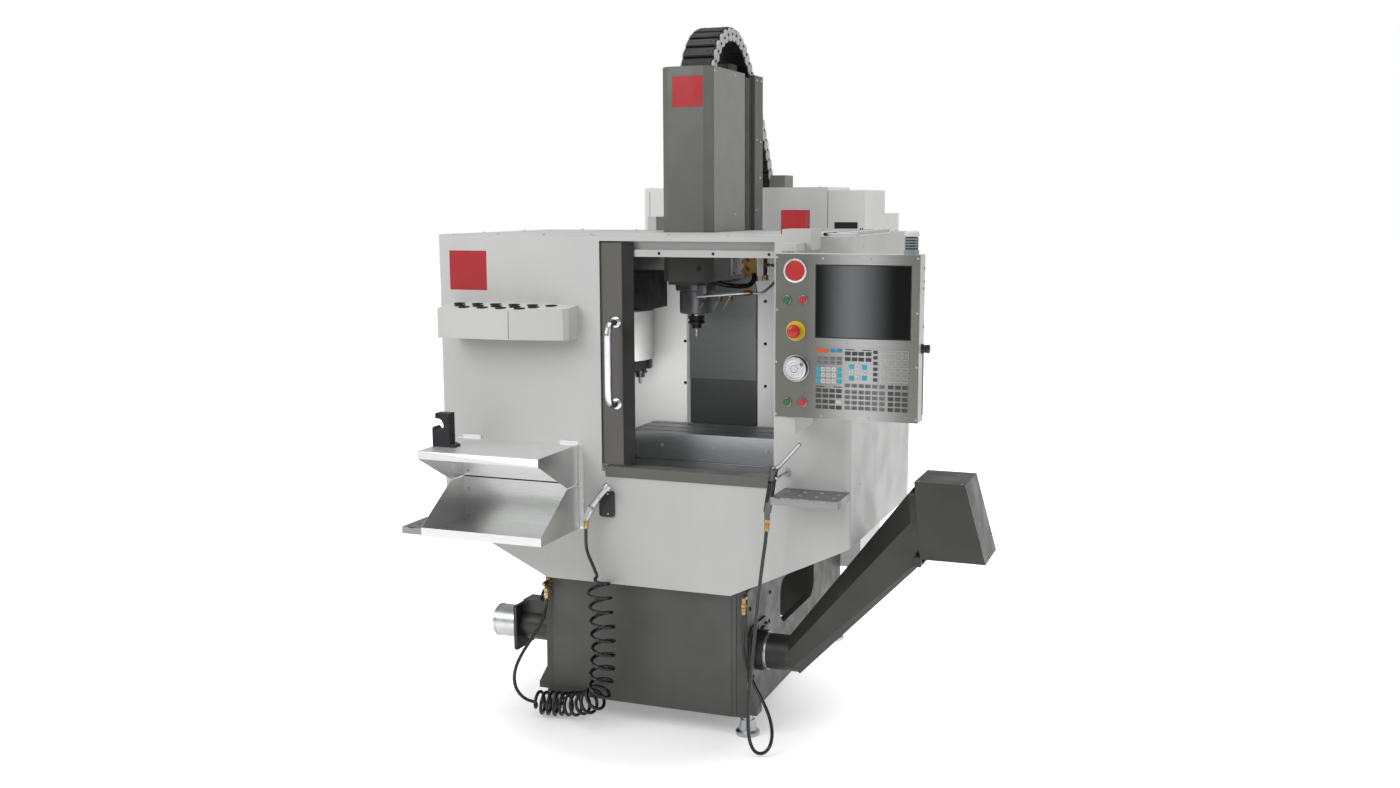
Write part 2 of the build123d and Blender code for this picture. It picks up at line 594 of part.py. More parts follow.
def make_chute():
    elbow_top = (TUBE_END_X, AUGER_Y, AUGER_Z + TUBE_RADIUS)
    elbow_foot = (549, AUGER_Y, AUGER_Z - TUBE_RADIUS)
    octagon = [(-1, 0.29), (-0.41, 0), (0.41, 0), (1, 0.29), (1, 0.71), (0.41, 1), (-0.41, 1), (-1, 0.71)]
    house = [(-1, 0.06), (-0.8, 0), (0.8, 0), (1, 0.06), (1, 0.62), (0.25, 1), (-0.25, 1), (-1, 0.62)]

    def duct(shrink):
        lower = duct_section(elbow_foot, elbow_top, TUBE_RADIUS, shrink, octagon)
        upper = duct_section(CHUTE_FOOT, CHUTE_TOP, CHUTE_WIDTH / 2, shrink, house)
        return loft([lower, upper], ruled=True)

    chute = duct(0) - duct(TUBE_WALL)
    corner = [(TUBE_END_X, elbow_top[2]), (TUBE_END_X, elbow_foot[2]), (elbow_foot[0], elbow_foot[2])]
    elbow = rod((TUBE_END_X, AUGER_Y, AUGER_Z), (560, AUGER_Y, AUGER_Z), TUBE_RADIUS)
    elbow -= rod((TUBE_END_X - 1, AUGER_Y, AUGER_Z), (561, AUGER_Y, AUGER_Z), TUBE_RADIUS - TUBE_WALL)
    elbow &= along_y(corner, AUGER_Y - 80, AUGER_Y + 80)
    chute += elbow

    def wall_x(z, low, high):
        return low[0] + (high[0] - low[0]) * (z - low[1]) / (high[1] - low[1])

    chute_low, chute_high = (CHUTE_FOOT[0], CHUTE_FOOT[2]), (CHUTE_TOP[0], CHUTE_TOP[2])
    hood_low, hood_high = (HOOD_LOW_LEFT, HOOD_BOTTOM), (HOOD_TOP_LEFT, HOOD_TOP)

    def neck(low, high, half, start, end):
        outline = [(wall_x(low, chute_low, chute_high) - start, low), (wall_x(low, hood_low, hood_high) + end, low),
                   (wall_x(high, hood_low, hood_high) + end, high), (wall_x(high, chute_low, chute_high) - start, high)]
        return along_y(outline, AUGER_Y - half, AUGER_Y + half)

    sleeve = neck(700, 850, 50, 0, 0) - neck(703, 847, 47, 1, 1)
    put("chip_chute", Compound(children=[*chute.solids(), *sleeve.solids()]))
    depth = (HOOD_FRONT, HOOD_FRONT + HOOD_DEPTH)
    outline = [(HOOD_TOP_LEFT, HOOD_TOP), (HOOD_LOW_LEFT, HOOD_BOTTOM), (RIGHT_END, HOOD_BOTTOM), (1116, HOOD_TOP)]
    hollow = [(HOOD_TOP_LEFT + SHEET, HOOD_TOP - SHEET), (HOOD_LOW_LEFT + SHEET, HOOD_BOTTOM - 1),
              (RIGHT_END - SHEET, HOOD_BOTTOM - 1), (1116 - SHEET, HOOD_TOP - SHEET)]
    hood = along_y(outline, *depth)
    hood -= along_y(hollow, depth[0] + SHEET, depth[1] - SHEET)
    hood -= neck(703, 847, 47, 1, 6)
    put("discharge_hood", hood)


def rail_profile(centre, foot, up):
    # A guide rail's section with its waist, from the mounting face `foot`, `up` being +1 or -1.
    half = RAIL_WIDTH / 2
    side = [(half, 0), (half, 6), (half - 3, 9), (half - 3, 12), (half, 15), (half, RAIL_HEIGHT)]
    right = [(centre + across, foot + up * height) for across, height in side]
    left = [(centre - across, foot + up * height) for across, height in reversed(side)]
    return right + left


def make_axis_drives():
    pieces = []
    for sign in (-1, 1):
        pieces.append(along_y(rail_profile(sign * SADDLE_RAIL_X, PEDESTAL_TOP, 1), 290, 880))
        pieces.append(along_z(rail_profile(sign * RAIL_X, COLUMN_FRONT, -1), RAIL_BOTTOM, 2290))
    screw_z = PEDESTAL_TOP + 23
    long_screw = block((-40, 40), (PEDESTAL_FRONT, 290), (PEDESTAL_TOP, screw_z + 40))
    long_screw += along_y(square_outline(0, screw_z, 40, 10), 168, PEDESTAL_FRONT)
    long_screw += rod((0, 280, screw_z), (0, 880, screw_z), SCREW_RADIUS)
    long_screw += block((-30, 30), (876, 896), (PEDESTAL_TOP, screw_z + 20))
    pieces.append(long_screw)
    upright = rod((0, COLUMN_FRONT, 1190), (0, COLUMN_FRONT, COLUMN_TOP + 4), HEAD_SCREW_RADIUS)
    upright += block((-GROOVE_HALF, GROOVE_HALF), (COLUMN_FRONT - 15, COLUMN_FRONT + GROOVE_DEPTH), (1180, 1205))
    upright += block((-45, 45), (COLUMN_FRONT - 40, COLUMN_FRONT + 40), (COLUMN_TOP, COLUMN_TOP + 10))
    upright += along_z(square_outline(0, COLUMN_FRONT, 40, 10), COLUMN_TOP + 10, COLUMN_TOP + 50)
    pieces.append(upright)
    put("axis_drives", Compound(children=[solid for piece in pieces for solid in piece.solids()]))


def cover_frame(half, top, low, y_span):
    # An inverted channel of sheet metal that stands across the bed.
    frame = block((-half, half), y_span, (low, top))
    return frame - block((-half + SHEET, half - SHEET), (y_span[0] - 1, y_span[1] + 1), (low - 1, top - SHEET))


def make_way_covers():
    lip = WAY_STEP + 1 - SHEET - SEAM
    base_cover = cover_frame(FRONT_COVER_HALF, FRONT_COVER_TOP, PEDESTAL_TOP, (130, 300))
    base_cover += cover_frame(FRONT_COVER_HALF + lip - 1, FRONT_COVER_TOP + lip, PEDESTAL_TOP, (298, 300))
    low = WAY_FRONT + 2 * (WAY_STEP + 1)
    lower = block((-WAY_HALF, WAY_HALF), (low, low + SHEET), (951, 1153))
    lower += block((-WAY_HALF, WAY_HALF), (low - 4 + SEAM, low), (1151, 1153))
    for sign in (-1, 1):
        lower += block(sorted((sign * 84, sign * 124)), (low + SHEET, COLUMN_FRONT), (960, 1110))
    put("fixed_way_covers", Compound(children=[*base_cover.solids(), *lower.solids()]))
    half = FRONT_COVER_HALF + WAY_STEP
    top = FRONT_COVER_TOP + WAY_STEP + 1
    middle = cover_frame(half, top, PEDESTAL_TOP + 4, (127, 301))
    middle += cover_frame(half + lip - 1, top + lip, PEDESTAL_TOP + 4, (299, 301))
    put("front_cover_middle", middle)
    low = WAY_FRONT + WAY_STEP + 1
    middle = block((-WAY_HALF, WAY_HALF), (low, low + SHEET), (1133, 1302))
    middle += block((-WAY_HALF, WAY_HALF), (low - 4 + SEAM, low), (1300, 1302))
    put("way_cover_middle", middle)
    upper = block((-WAY_HALF, WAY_HALF), (WAY_FRONT, WAY_FRONT + SHEET), (1282, 1540))
    upper += block((-HEAD_HALF, HEAD_HALF), (HEAD_BACK, WAY_FRONT), (1538, 1540))
    put("way_cover_upper", upper)


def make_saddle():
    low, high = PEDESTAL_TOP + 45, TABLE_BOTTOM - 36
    front, back = TABLE_Y - TABLE_WIDTH / 2, TABLE_Y + TABLE_WIDTH / 2
    saddle = block((-SADDLE_HALF, SADDLE_HALF), (front, back), (low, high))
    saddle -= block((-110, 110), (front + 22, back - 22), (low - 1, high - 24))
    for x in (-115, 115):
        for y in (TABLE_Y - TABLE_RAIL_Y, TABLE_Y + TABLE_RAIL_Y):
            saddle += block((x - 40, x + 40), (y - 22, y + 22), (high, high + 30))
            groove = RAIL_WIDTH / 2 + RUNNING_FIT
            saddle -= block((x - 41, x + 41), (y - groove, y + groove), (TABLE_BOTTOM - RAIL_HEIGHT - SEAM, high + 31))
    for x in (-SADDLE_RAIL_X, SADDLE_RAIL_X):
        for y in (TABLE_Y - 80, TABLE_Y + 80):
            saddle += block((x - 22, x + 22), (y - 40, y + 40), (PEDESTAL_TOP + 4, low))
            saddle -= block((x - groove, x + groove), (y - 41, y + 41), (PEDESTAL_TOP + 3, PEDESTAL_TOP + RAIL_HEIGHT + SEAM))
    screw_z = PEDESTAL_TOP + 23
    saddle += block((-28, 28), (TABLE_Y - 30, TABLE_Y + 30), (PEDESTAL_TOP + 7, high - 20))
    saddle -= rod((0, TABLE_Y - 31, screw_z), (0, TABLE_Y + 31, screw_z), SCREW_RADIUS + RUNNING_FIT)
    screw_z = TABLE_BOTTOM - 19
    saddle += block((-30, 30), (TABLE_Y - 28, TABLE_Y + 28), (high, TABLE_BOTTOM - 3))
    saddle -= rod((-31, TABLE_Y, screw_z), (31, TABLE_Y, screw_z), SCREW_RADIUS + RUNNING_FIT)
    half = FRONT_COVER_HALF + 2 * WAY_STEP
    apron = cover_frame(half, FRONT_COVER_TOP + 2 * (WAY_STEP + 1), PEDESTAL_TOP + 7, (124, front))
    put("saddle", Compound(children=[*saddle.solids(), *apron.solids()]))


def t_slot(centre):
    half, head = SLOT_WIDTH / 2, SLOT_HEAD / 2
    floor = TABLE_TOP - SLOT_DEPTH
    shoulder = floor + SLOT_HEAD_HEIGHT
    return [(centre - half, TABLE_TOP), (centre - half, shoulder), (centre - head, shoulder), (centre - head, floor),
            (centre + head, floor), (centre + head, shoulder), (centre + half, shoulder), (centre + half, TABLE_TOP)]


def make_table():
    left, right = TRAVEL_X / 2 - TABLE_LENGTH / 2, TRAVEL_X / 2 + TABLE_LENGTH / 2
    front, back = TABLE_Y - TABLE_WIDTH / 2, TABLE_Y + TABLE_WIDTH / 2
    outline = [(front, TABLE_BOTTOM), (front, TABLE_TOP)]
    for index in (-1, 0, 1):
        outline += t_slot(TABLE_Y + index * SLOT_PITCH)
    outline += [(back, TABLE_TOP), (back, TABLE_BOTTOM)]
    put("table", along_x(outline, left, right))
    pieces = []
    for sign in (-1, 1):
        pieces.append(along_x(rail_profile(TABLE_Y + sign * TABLE_RAIL_Y, TABLE_BOTTOM, -1), left, right))
    screw_z = TABLE_BOTTOM - 19
    drive = rod((left, TABLE_Y, screw_z), (right, TABLE_Y, screw_z), SCREW_RADIUS)
    for x in (left, right - 20):
        drive += block((x, x + 20), (TABLE_Y - 30, TABLE_Y + 30), (TABLE_BOTTOM - 35, TABLE_BOTTOM))
    drive += along_x(square_outline(TABLE_Y, screw_z, 40, 10), right, right + 92)
    pieces.append(drive)
    put("table_drive", Compound(children=pieces))


def make_column():
    front = along_y([(-COLUMN_HALF, PEDESTAL_TOP), (COLUMN_HALF, PEDESTAL_TOP), (COLUMN_TOP_HALF, COLUMN_NECK),
                     (COLUMN_TOP_HALF, COLUMN_TOP), (-COLUMN_TOP_HALF, COLUMN_TOP), (-COLUMN_TOP_HALF, COLUMN_NECK)],
                    COLUMN_FRONT, COLUMN_BACK)
    side = along_x([(COLUMN_FRONT, PEDESTAL_TOP), (COLUMN_BACK, PEDESTAL_TOP), (COLUMN_SPINE, COLUMN_NECK),
                    (COLUMN_SPINE, COLUMN_TOP), (COLUMN_FRONT, COLUMN_TOP)], -COLUMN_HALF, COLUMN_HALF)
    column = front & side
    column -= block((-GROOVE_HALF, GROOVE_HALF), (COLUMN_FRONT - 1, COLUMN_FRONT + GROOVE_DEPTH), (1180, COLUMN_TOP + 1))
    core = along_y([(-COLUMN_HALF + 25, PEDESTAL_TOP - 1), (COLUMN_HALF - 25, PEDESTAL_TOP - 1), (66, COLUMN_NECK - 60),
                    (-66, COLUMN_NECK - 60)], COLUMN_FRONT, COLUMN_BACK)
    core &= along_x([(COLUMN_FRONT + 65, PEDESTAL_TOP - 1), (COLUMN_BACK - 25, PEDESTAL_TOP - 1),
                     (COLUMN_SPINE + 4, COLUMN_NECK - 60), (COLUMN_FRONT + 65, COLUMN_NECK - 60)],
                    -COLUMN_HALF, COLUMN_HALF)
    put("column", column - core)


def make_head():
    outline = [(HEAD_FRONT, HEAD_BOTTOM), (HEAD_BACK, HEAD_BOTTOM), (HEAD_BACK, HEAD_TOP), (805, HEAD_TOP),
               (805, MOTOR_SEAT), (HEAD_FRONT, MOTOR_SEAT)]
    casting = along_x(outline, -HEAD_HALF, HEAD_HALF)
    casting = fillet(casting.edges().filter_by(Axis.Z).group_by(Axis.Y)[0], 12)
    casting -= rod((0, SPINDLE_Y, HEAD_BOTTOM - 1), (0, SPINDLE_Y, MOTOR_SEAT + 1), CARTRIDGE_RADIUS)
    groove = RAIL_WIDTH / 2 + RUNNING_FIT
    for x in (-RAIL_X, RAIL_X):
        for z in (1620, 1880):
            casting += block((x - 22, x + 22), (HEAD_BACK, COLUMN_FRONT - 4), (z, z + 80))
            casting -= block((x - groove, x + groove), (COLUMN_FRONT - RAIL_HEIGHT - SEAM, COLUMN_FRONT), (z - 1, z + 81))
    casting += block((-28, 28), (HEAD_BACK, COLUMN_FRONT + 20), (1700, 1760))
    casting -= rod((0, COLUMN_FRONT, 1699), (0, COLUMN_FRONT, 1761), HEAD_SCREW_RADIUS + RUNNING_FIT)
    inside = COVER_HALF - SHEET - SEAM
    for z in (1600, 1740):
        for sign in (-1, 1):
            casting += block(sorted((sign * HEAD_HALF, sign * inside)), (700, 740), (z, z + 40))
        casting += block((-30, 30), (COVER_FRONT + SHEET + SEAM, HEAD_FRONT), (z, z + 40))
    motor = rod((0, MOTOR_Y, MOTOR_SEAT), (0, MOTOR_Y, 2040), 64)
    belt_guard = block((-50, 50), (SPINDLE_Y - 40, MOTOR_Y - 64.3), (MOTOR_SEAT, MOTOR_SEAT + 38))
    profile = [(SHAFT_RADIUS + RUNNING_FIT, NOSE_Z), (CARTRIDGE_RADIUS - 4, NOSE_Z), (CARTRIDGE_RADIUS, NOSE_Z + 4),
               (CARTRIDGE_RADIUS, HEAD_BOTTOM - 26), (CARTRIDGE_FLANGE, HEAD_BOTTOM - 22), (CARTRIDGE_FLANGE, HEAD_BOTTOM),
               (CARTRIDGE_RADIUS, HEAD_BOTTOM), (CARTRIDGE_RADIUS, MOTOR_SEAT - 10), (SHAFT_RADIUS + RUNNING_FIT, MOTOR_SEAT - 10)]
    cartridge = turned(profile, 0, SPINDLE_Y)
    put("head_casting", Compound(children=[casting, motor, belt_guard, cartridge]))
    shaft = turned([(0, MOTOR_SEAT - 4), (SHAFT_RADIUS, MOTOR_SEAT - 4), (SHAFT_RADIUS, NOSE_Z - 7), (22.3, NOSE_Z - 7),
                    (12.7, NOSE_Z + 61), (12.7, NOSE_Z + 80), (0, NOSE_Z + 80)], 0, SPINDLE_Y)
    put("spindle_shaft", Compound(children=[shaft, tool_holder(0, SPINDLE_Y, NOSE_Z - 10, TOOL_TIP, CUTTER_RADIUS)]))


def tool_holder(x, y, top, tip, cutter):
    radius = HOLDER_RADIUS
    profile = [(0, tip), (cutter, tip), (cutter, top - 46), (19, top - 46), (20, top - 30), (radius, top - 28),
               (radius, top - 21), (radius - 4, top - 18), (radius - 4, top - 14), (radius, top - 11), (radius, top),
               (22, top + 1), (12.4, top + 69), (0, top + 69)]
    return turned(profile, x, y)


def make_head_cover():
    def plan(shrink):
        half, front = COVER_HALF - shrink, COVER_FRONT + shrink
        cut = COVER_CHAMFER
        return [(-half, COVER_BACK + (1 if shrink else 0)), (-half, front + cut), (-half + cut, front), (half - cut, front),
                (half, front + cut), (half, COVER_BACK + (1 if shrink else 0))]

    cover = along_z(plan(0), COVER_BOTTOM, COVER_TOP) - along_z(plan(SHEET), COVER_BOTTOM - 1, COVER_TOP - SHEET)
    slot = CARRIER_HALF + 12
    cover -= block((-slot, slot), (CARRIER_FRONT_Y - 42, CARRIER_FRONT_Y + 42), (COVER_TOP - 3, COVER_TOP + 1))
    put("head_cover", cover)


def make_coolant_manifold():
    pipe = rod((40, 494, 1488), (214, 520, 1503), 8)
    pipe += rod((214, 520, 1503), (237, 523.4, 1505), 10)
    pipe += block((44, 66), (490, 520), (1490, HEAD_BOTTOM))
    for x in (72, 127, 165):
        share = (x - 40) / 174
        start = (x, 494 + 26 * share, 1488 + 15 * share)
        pipe += rod(start, (x - 8, start[1] + 2, start[2] - 16), 7)
        pipe += rod((x - 8, start[1] + 2, start[2] - 16), (x - 24, start[1] + 8, start[2] - 40), 4)
    plate = block((COVER_HALF, 203), (698, 702), (1556, 1632))
    plate += rod((160, 698, 1610), (160, 676, 1610), 11) + rod((160, 698, 1576), (160, 676, 1576), 11)
    plate += block((COVER_HALF, COVER_HALF + 3), (686, 714), (1556, 1632))
    put("coolant_manifold", Compound(children=[*pipe.solids(), *plate.solids()]))


def carrier_route():
    points = []
    z = CARRIER_LOW
    while z < CARRIER_Z:
        points.append((CARRIER_FRONT_Y, z))
        z += CARRIER_PITCH
    length = z - CARRIER_Z
    sweep_end = math.radians(180 - CARRIER_LEAVE)
    while length / CARRIER_RADIUS < sweep_end:
        angle = math.pi - length / CARRIER_RADIUS
        points.append((CARRIER_Y + CARRIER_RADIUS * math.cos(angle), CARRIER_Z + CARRIER_RADIUS * math.sin(angle)))
        length += CARRIER_PITCH
    y, z = points[-1]
    slope = math.radians(CARRIER_LEAVE - 88)
    while z + CARRIER_PITCH * math.sin(slope) > CARRIER_FOOT_Z + 6:
        y += CARRIER_PITCH * math.cos(slope)
        z += CARRIER_PITCH * math.sin(slope)
        slope -= math.radians(CARRIER_SAG)
        points.append((y, z))
    return points


def make_cable_carrier():
    points = carrier_route()
    chain = None
    for start, end in zip(points, points[1:]):
        plane = Plane(origin=(0, *start), x_dir=(1, 0, 0), z_dir=(0, end[0] - start[0], end[1] - start[1]))
        link = plane * Pos(0, 0, CARRIER_PITCH / 2) * Box(2 * CARRIER_HALF, CARRIER_THICK, CARRIER_PITCH - 6)
        joint = rod((-CARRIER_HALF + 4, *start), (CARRIER_HALF - 4, *start), 15)
        chain = link + joint if chain is None else chain + link + joint
    last = points[-1]
    chain += block((-CARRIER_HALF, CARRIER_HALF), (last[0] - 22, last[0] + 26), (CARRIER_FOOT_Z, last[1] + 10))
    put("cable_carrier", chain)


def make_cabinet():
    sides = (CABINET_LEFT, CABINET_RIGHT)
    back = CABINET_FRONT + CABINET_DEPTH
    wall = 3
    cabinet = block(sides, (CABINET_FRONT, back), (CABINET_BOTTOM, CABINET_TOP))
    cabinet += block((CABINET_LEFT, 315), (CABINET_FRONT, back), (CABINET_TOP, CABINET_TOP + 13))
    cabinet += block((CARRIER_HALF + SEAM, 128), (CABINET_FRONT + 5, CABINET_FRONT + 120), (CABINET_TOP, 1943))
    cabinet -= block((sides[0] + wall, sides[1] - wall), (CABINET_FRONT + wall, back - wall),
                     (CABINET_BOTTOM + wall, CABINET_TOP - wall))
    cabinet -= block((-60, 60), (back - 140, back - 60), (CABINET_BOTTOM - 1, CABINET_BOTTOM + wall + 1))
    vent = block((380, 512), (back, BACK_END), (1500, 1783))
    vent -= block((383, 509), (back - 1, BACK_END - wall), (1503, 1780))
    for index in range(8):
        z = 1530 + index * 29
        vent -= block((400, 492), (BACK_END - wall - 1, BACK_END + 1), (z, z + 9))
    vent += block((383, 509), (back, back + 2), (1503, 1780))
    put("control_cabinet", Compound(children=[*cabinet.solids(), *vent.solids()]))


def make_tool_changer():
    front, back = DRUM_Y - 80, DRUM_Y + 80
    left, right = DRUM_X - 129, HOUSING_RIGHT
    low, top = HOUSING_BOTTOM, HOUSING_TOP
    housing = block((left, right), (front, back), (low, top))
    housing -= block((left + SHEET, right - SHEET), (front + SHEET, back - SHEET), (low - 1, top - SHEET))
    for y in (DRUM_Y - GUIDE_ROD_Y, DRUM_Y + GUIDE_ROD_Y):
        housing += rod((left + 1, y, GUIDE_ROD_Z), (right - 1, y, GUIDE_ROD_Z), GUIDE_ROD_RADIUS)
    arm = block((left + 20, left + 160), (back, ENCLOSURE_DEPTH - SHEET), (low + 50, top))
    arm -= block((left + 24, left + 156), (back - 1, ENCLOSURE_DEPTH), (low + 49, top - 4))
    arm += block((left + 20, left + 160), (ENCLOSURE_DEPTH - SHEET - 4, ENCLOSURE_DEPTH - SHEET), (low + 20, top))
    put("changer_housing", Compound(children=[*housing.solids(), *arm.solids()]))
    carriage = block((DRUM_X - 69, DRUM_X + 69), (DRUM_Y - 70, DRUM_Y + 70), (low + 5, GUIDE_ROD_Z + 20))
    for y in (DRUM_Y - GUIDE_ROD_Y, DRUM_Y + GUIDE_ROD_Y):
        carriage -= rod((DRUM_X - 70, y, GUIDE_ROD_Z), (DRUM_X + 70, y, GUIDE_ROD_Z), GUIDE_ROD_RADIUS + RUNNING_FIT)
    disc_low = DRUM_TOP - DRUM_HEIGHT - 39
    carriage += rod((DRUM_X, DRUM_Y, low + 6), (DRUM_X, DRUM_Y, disc_low - 14), 25)
    carriage += rod((DRUM_X, DRUM_Y, disc_low - SEAM), (DRUM_X, DRUM_Y, disc_low - 14), 38)
    put("changer_carriage", carriage)
    hub = 25 + RUNNING_FIT
    drum_low = DRUM_TOP - DRUM_HEIGHT
    disc_top = disc_low + 36
    drum = turned([(hub, DRUM_TOP), (DRUM_RADIUS - 7, DRUM_TOP), (DRUM_RADIUS, DRUM_TOP - 7), (DRUM_RADIUS, drum_low),
                   (DRUM_RADIUS - 3, drum_low), (DRUM_RADIUS - 3, DRUM_TOP - 9), (DRUM_RADIUS - 9, DRUM_TOP - 3),
                   (45, DRUM_TOP - 3), (45, disc_top), (hub, disc_top)], DRUM_X, DRUM_Y)
    put("carousel_drum", drum)
    disc = turned([(hub, disc_low), (DRUM_RADIUS - 9, disc_low), (DRUM_RADIUS - 9, disc_top), (hub, disc_top)], DRUM_X, DRUM_Y)
    tools = []
    for index in range(POCKET_COUNT):
        turn = Pos(DRUM_X, DRUM_Y, 0) * Rot(0, 0, 360 / POCKET_COUNT * index)
        disc -= turn * rod((POCKET_RING, 0, disc_low - 1), (POCKET_RING, 0, disc_top + 1), 23)
        disc -= turn * block((POCKET_RING, DRUM_RADIUS), (-15, 15), (disc_low - 1, disc_top + 1))
        if index > 0:
            tools.append(turn * tool_holder(POCKET_RING, 0, disc_low - SEAM, 1117 + 9 * (index % 3), 5 + index % 4))
    put("carousel_disc", Compound(children=[*disc.solids(), *tools]))


def make_pendant():
    left, right = PENDANT_LEFT, PENDANT_LEFT + PENDANT_WIDTH
    low, top = PENDANT_BOTTOM, PENDANT_BOTTOM + PENDANT_HEIGHT
    front, back = PENDANT_FRONT + FACE_PLATE, PENDANT_FRONT + PENDANT_DEPTH
    cut = 10
    plan = [(left, front), (left, back - cut), (left + cut, back), (right - cut, back), (right, back - cut), (right, front)]
    wall = 2.5
    hollow = [(left + wall, front - 1), (left + wall, back - cut - 1), (left + cut + 1, back - wall),
              (right - cut - 1, back - wall), (right - wall, back - cut - 1), (right - wall, front - 1)]
    case = along_z(plan, low, top) - along_z(hollow, low + wall, top - wall)
    case += rod((right, -260, 1405), (right + 16, -260, 1405), 12)
    post_low, post_top = ARM_TOP + SEAM, UPPER_ARM_BOTTOM - SEAM
    post = rod((POST_X, POST_Y, post_low), (POST_X, POST_Y, post_top), POST_RADIUS)
    for z in (1260, 1570):
        post += block((POST_X - 14, POST_X + 70), (back, POST_Y), (z, z + 44))
    for z in ((post_low - 1, post_low + 26), (post_top - 26, post_top + 1)):
        post -= rod((POST_X, POST_Y, z[0]), (POST_X, POST_Y, z[1]), 12 + RUNNING_FIT)
    put("pendant_case", Compound(children=[*case.solids(), *post.solids()]))
    make_pendant_face(left, right, low, top)
    arms = block((562, 632), (-200, 0), (ARM_TOP - 47, ARM_TOP))
    arms += rod((POST_X, POST_Y, ARM_TOP - 5), (POST_X, POST_Y, ARM_TOP + 24), 12)
    upper = block((562, 632), (-200, -110), (UPPER_ARM_BOTTOM, UPPER_ARM_BOTTOM + 24))
    upper += rod((POST_X, POST_Y, UPPER_ARM_BOTTOM - 24), (POST_X, POST_Y, UPPER_ARM_BOTTOM + 5), 12)
    upper += block((558, 653), (-110, 0), (1684, 1749))
    put("pendant_arms", Compound(children=[*arms.solids(), *upper.solids()]))
    beacon_x, beacon_y = right - 35, -260
    profile = [(0, top), (22, top), (22, top + 10)]
    for index in range(5):
        z = top + 12 + index * 8
        profile += [(21, z), (21, z + 3), (19, z + 4), (19, z + 6)]
    profile += [(22, top + 54), (22, top + 64), (17, top + 69), (0, top + 69)]
    put("beacon", turned(profile, beacon_x, beacon_y))


BUTTONS = {"power_on_button": (633, 1542), "power_off_button": (684, 1544), "cycle_start_button": (635, 1233),
           "feed_hold_button": (684, 1234)}
STOP = (662, 1450)
WHEEL = (663, 1337)
BADGE = (659, 1630)


def make_pendant_face(left, right, low, top):
    front = PENDANT_FRONT
    face = block((left, right), (front, front + FACE_PLATE), (low, top))
    screen_right, screen_top = SCREEN_LEFT + SCREEN_WIDTH, SCREEN_BOTTOM + SCREEN_HEIGHT
    face -= block((SCREEN_LEFT, screen_right), (front - 1, front + 4), (SCREEN_BOTTOM, screen_top))
    face += block((SCREEN_LEFT, 1008), (front - 1.2, front), (1222, 1405))
    face += turned_forward([(0, 0), (35, 0), (35, 1), (0, 1)], *BADGE, front)
    for x, z in BUTTONS.values():
        face += turned_forward([(0, 0), (15, 0), (15, 3), (13, 5), (0, 5)], x, z, front)
        face -= rod((x, front + 4, z), (x, front - 6, z), 11 + SEAM)
    face += turned_forward([(0, 0), (30, 0), (30, 1.5), (0, 1.5)], *STOP, front)
    face -= rod((STOP[0], front + 4, STOP[1]), (STOP[0], front - 6, STOP[1]), 10 + SEAM)
    face -= rod((WHEEL[0], front + 4, WHEEL[1]), (WHEEL[0], front - 6, WHEEL[1]), 8 + RUNNING_FIT)
    put("pendant_face", face)
    gap = SEAM
    put("screen", block((SCREEN_LEFT + gap, screen_right - gap), (front + 1.5, front + 8), (SCREEN_BOTTOM + gap, screen_top - gap)))
    for name, (x, z) in BUTTONS.items():
        put(name, turned_forward([(0, -8), (11, -8), (11, 8), (9.5, 9.5), (0, 9.5)], x, z, front))
    mushroom = [(0, -14), (10, -14), (10, 14), (20, 18), (20, 28), (17, 34), (10, 37), (0, 38)]
    put("emergency_stop", turned_forward(mushroom, *STOP, front))
    wheel = [(0, -12), (8, -12), (8, 3), (36, 3), (36, 16), (33, 19), (30, 19), (28, 16), (12, 16), (10, 19), (0, 19)]
    wheel = turned_forward(wheel, *WHEEL, front)
    wheel += rod((WHEEL[0] + 20, front - 15, WHEEL[1] + 12), (WHEEL[0] + 20, front - 38, WHEEL[1] + 12), 6)
    put("jog_wheel", wheel)


def squeeze_lever(frame, reach, length):
    # A bar that hinges on a pin beside a grip. The frame's Z runs down the grip, its X is the hinge.
    eye = Pos(0, reach, 0) * Rot(0, 90, 0) * (Cylinder(4, 11.4) - Cylinder(1.5 + RUNNING_FIT, 14))
    bar = Pos(0, reach + 4, length / 2) * Rot(-4, 0, 0) * Box(10, 3, length)
    bar += Pos(0, reach + 2, 3) * Box(10, 4, 8) - Pos(0, reach, 0) * Rot(0, 90, 0) * Cylinder(3.8, 14)
    return frame * (eye + bar - Pos(0, reach, 0) * Rot(0, 90, 0) * Cylinder(1.5 + RUNNING_FIT, 14))


def lever_seat(frame, reach):
    seat = Pos(0, reach, 0) * Rot(0, 90, 0) * Cylinder(1.5, 18)
    for side in (-7.5, 7.5):
        seat += Pos(side, reach - 6, 0) * Box(3, 18, 10)
    return frame * seat


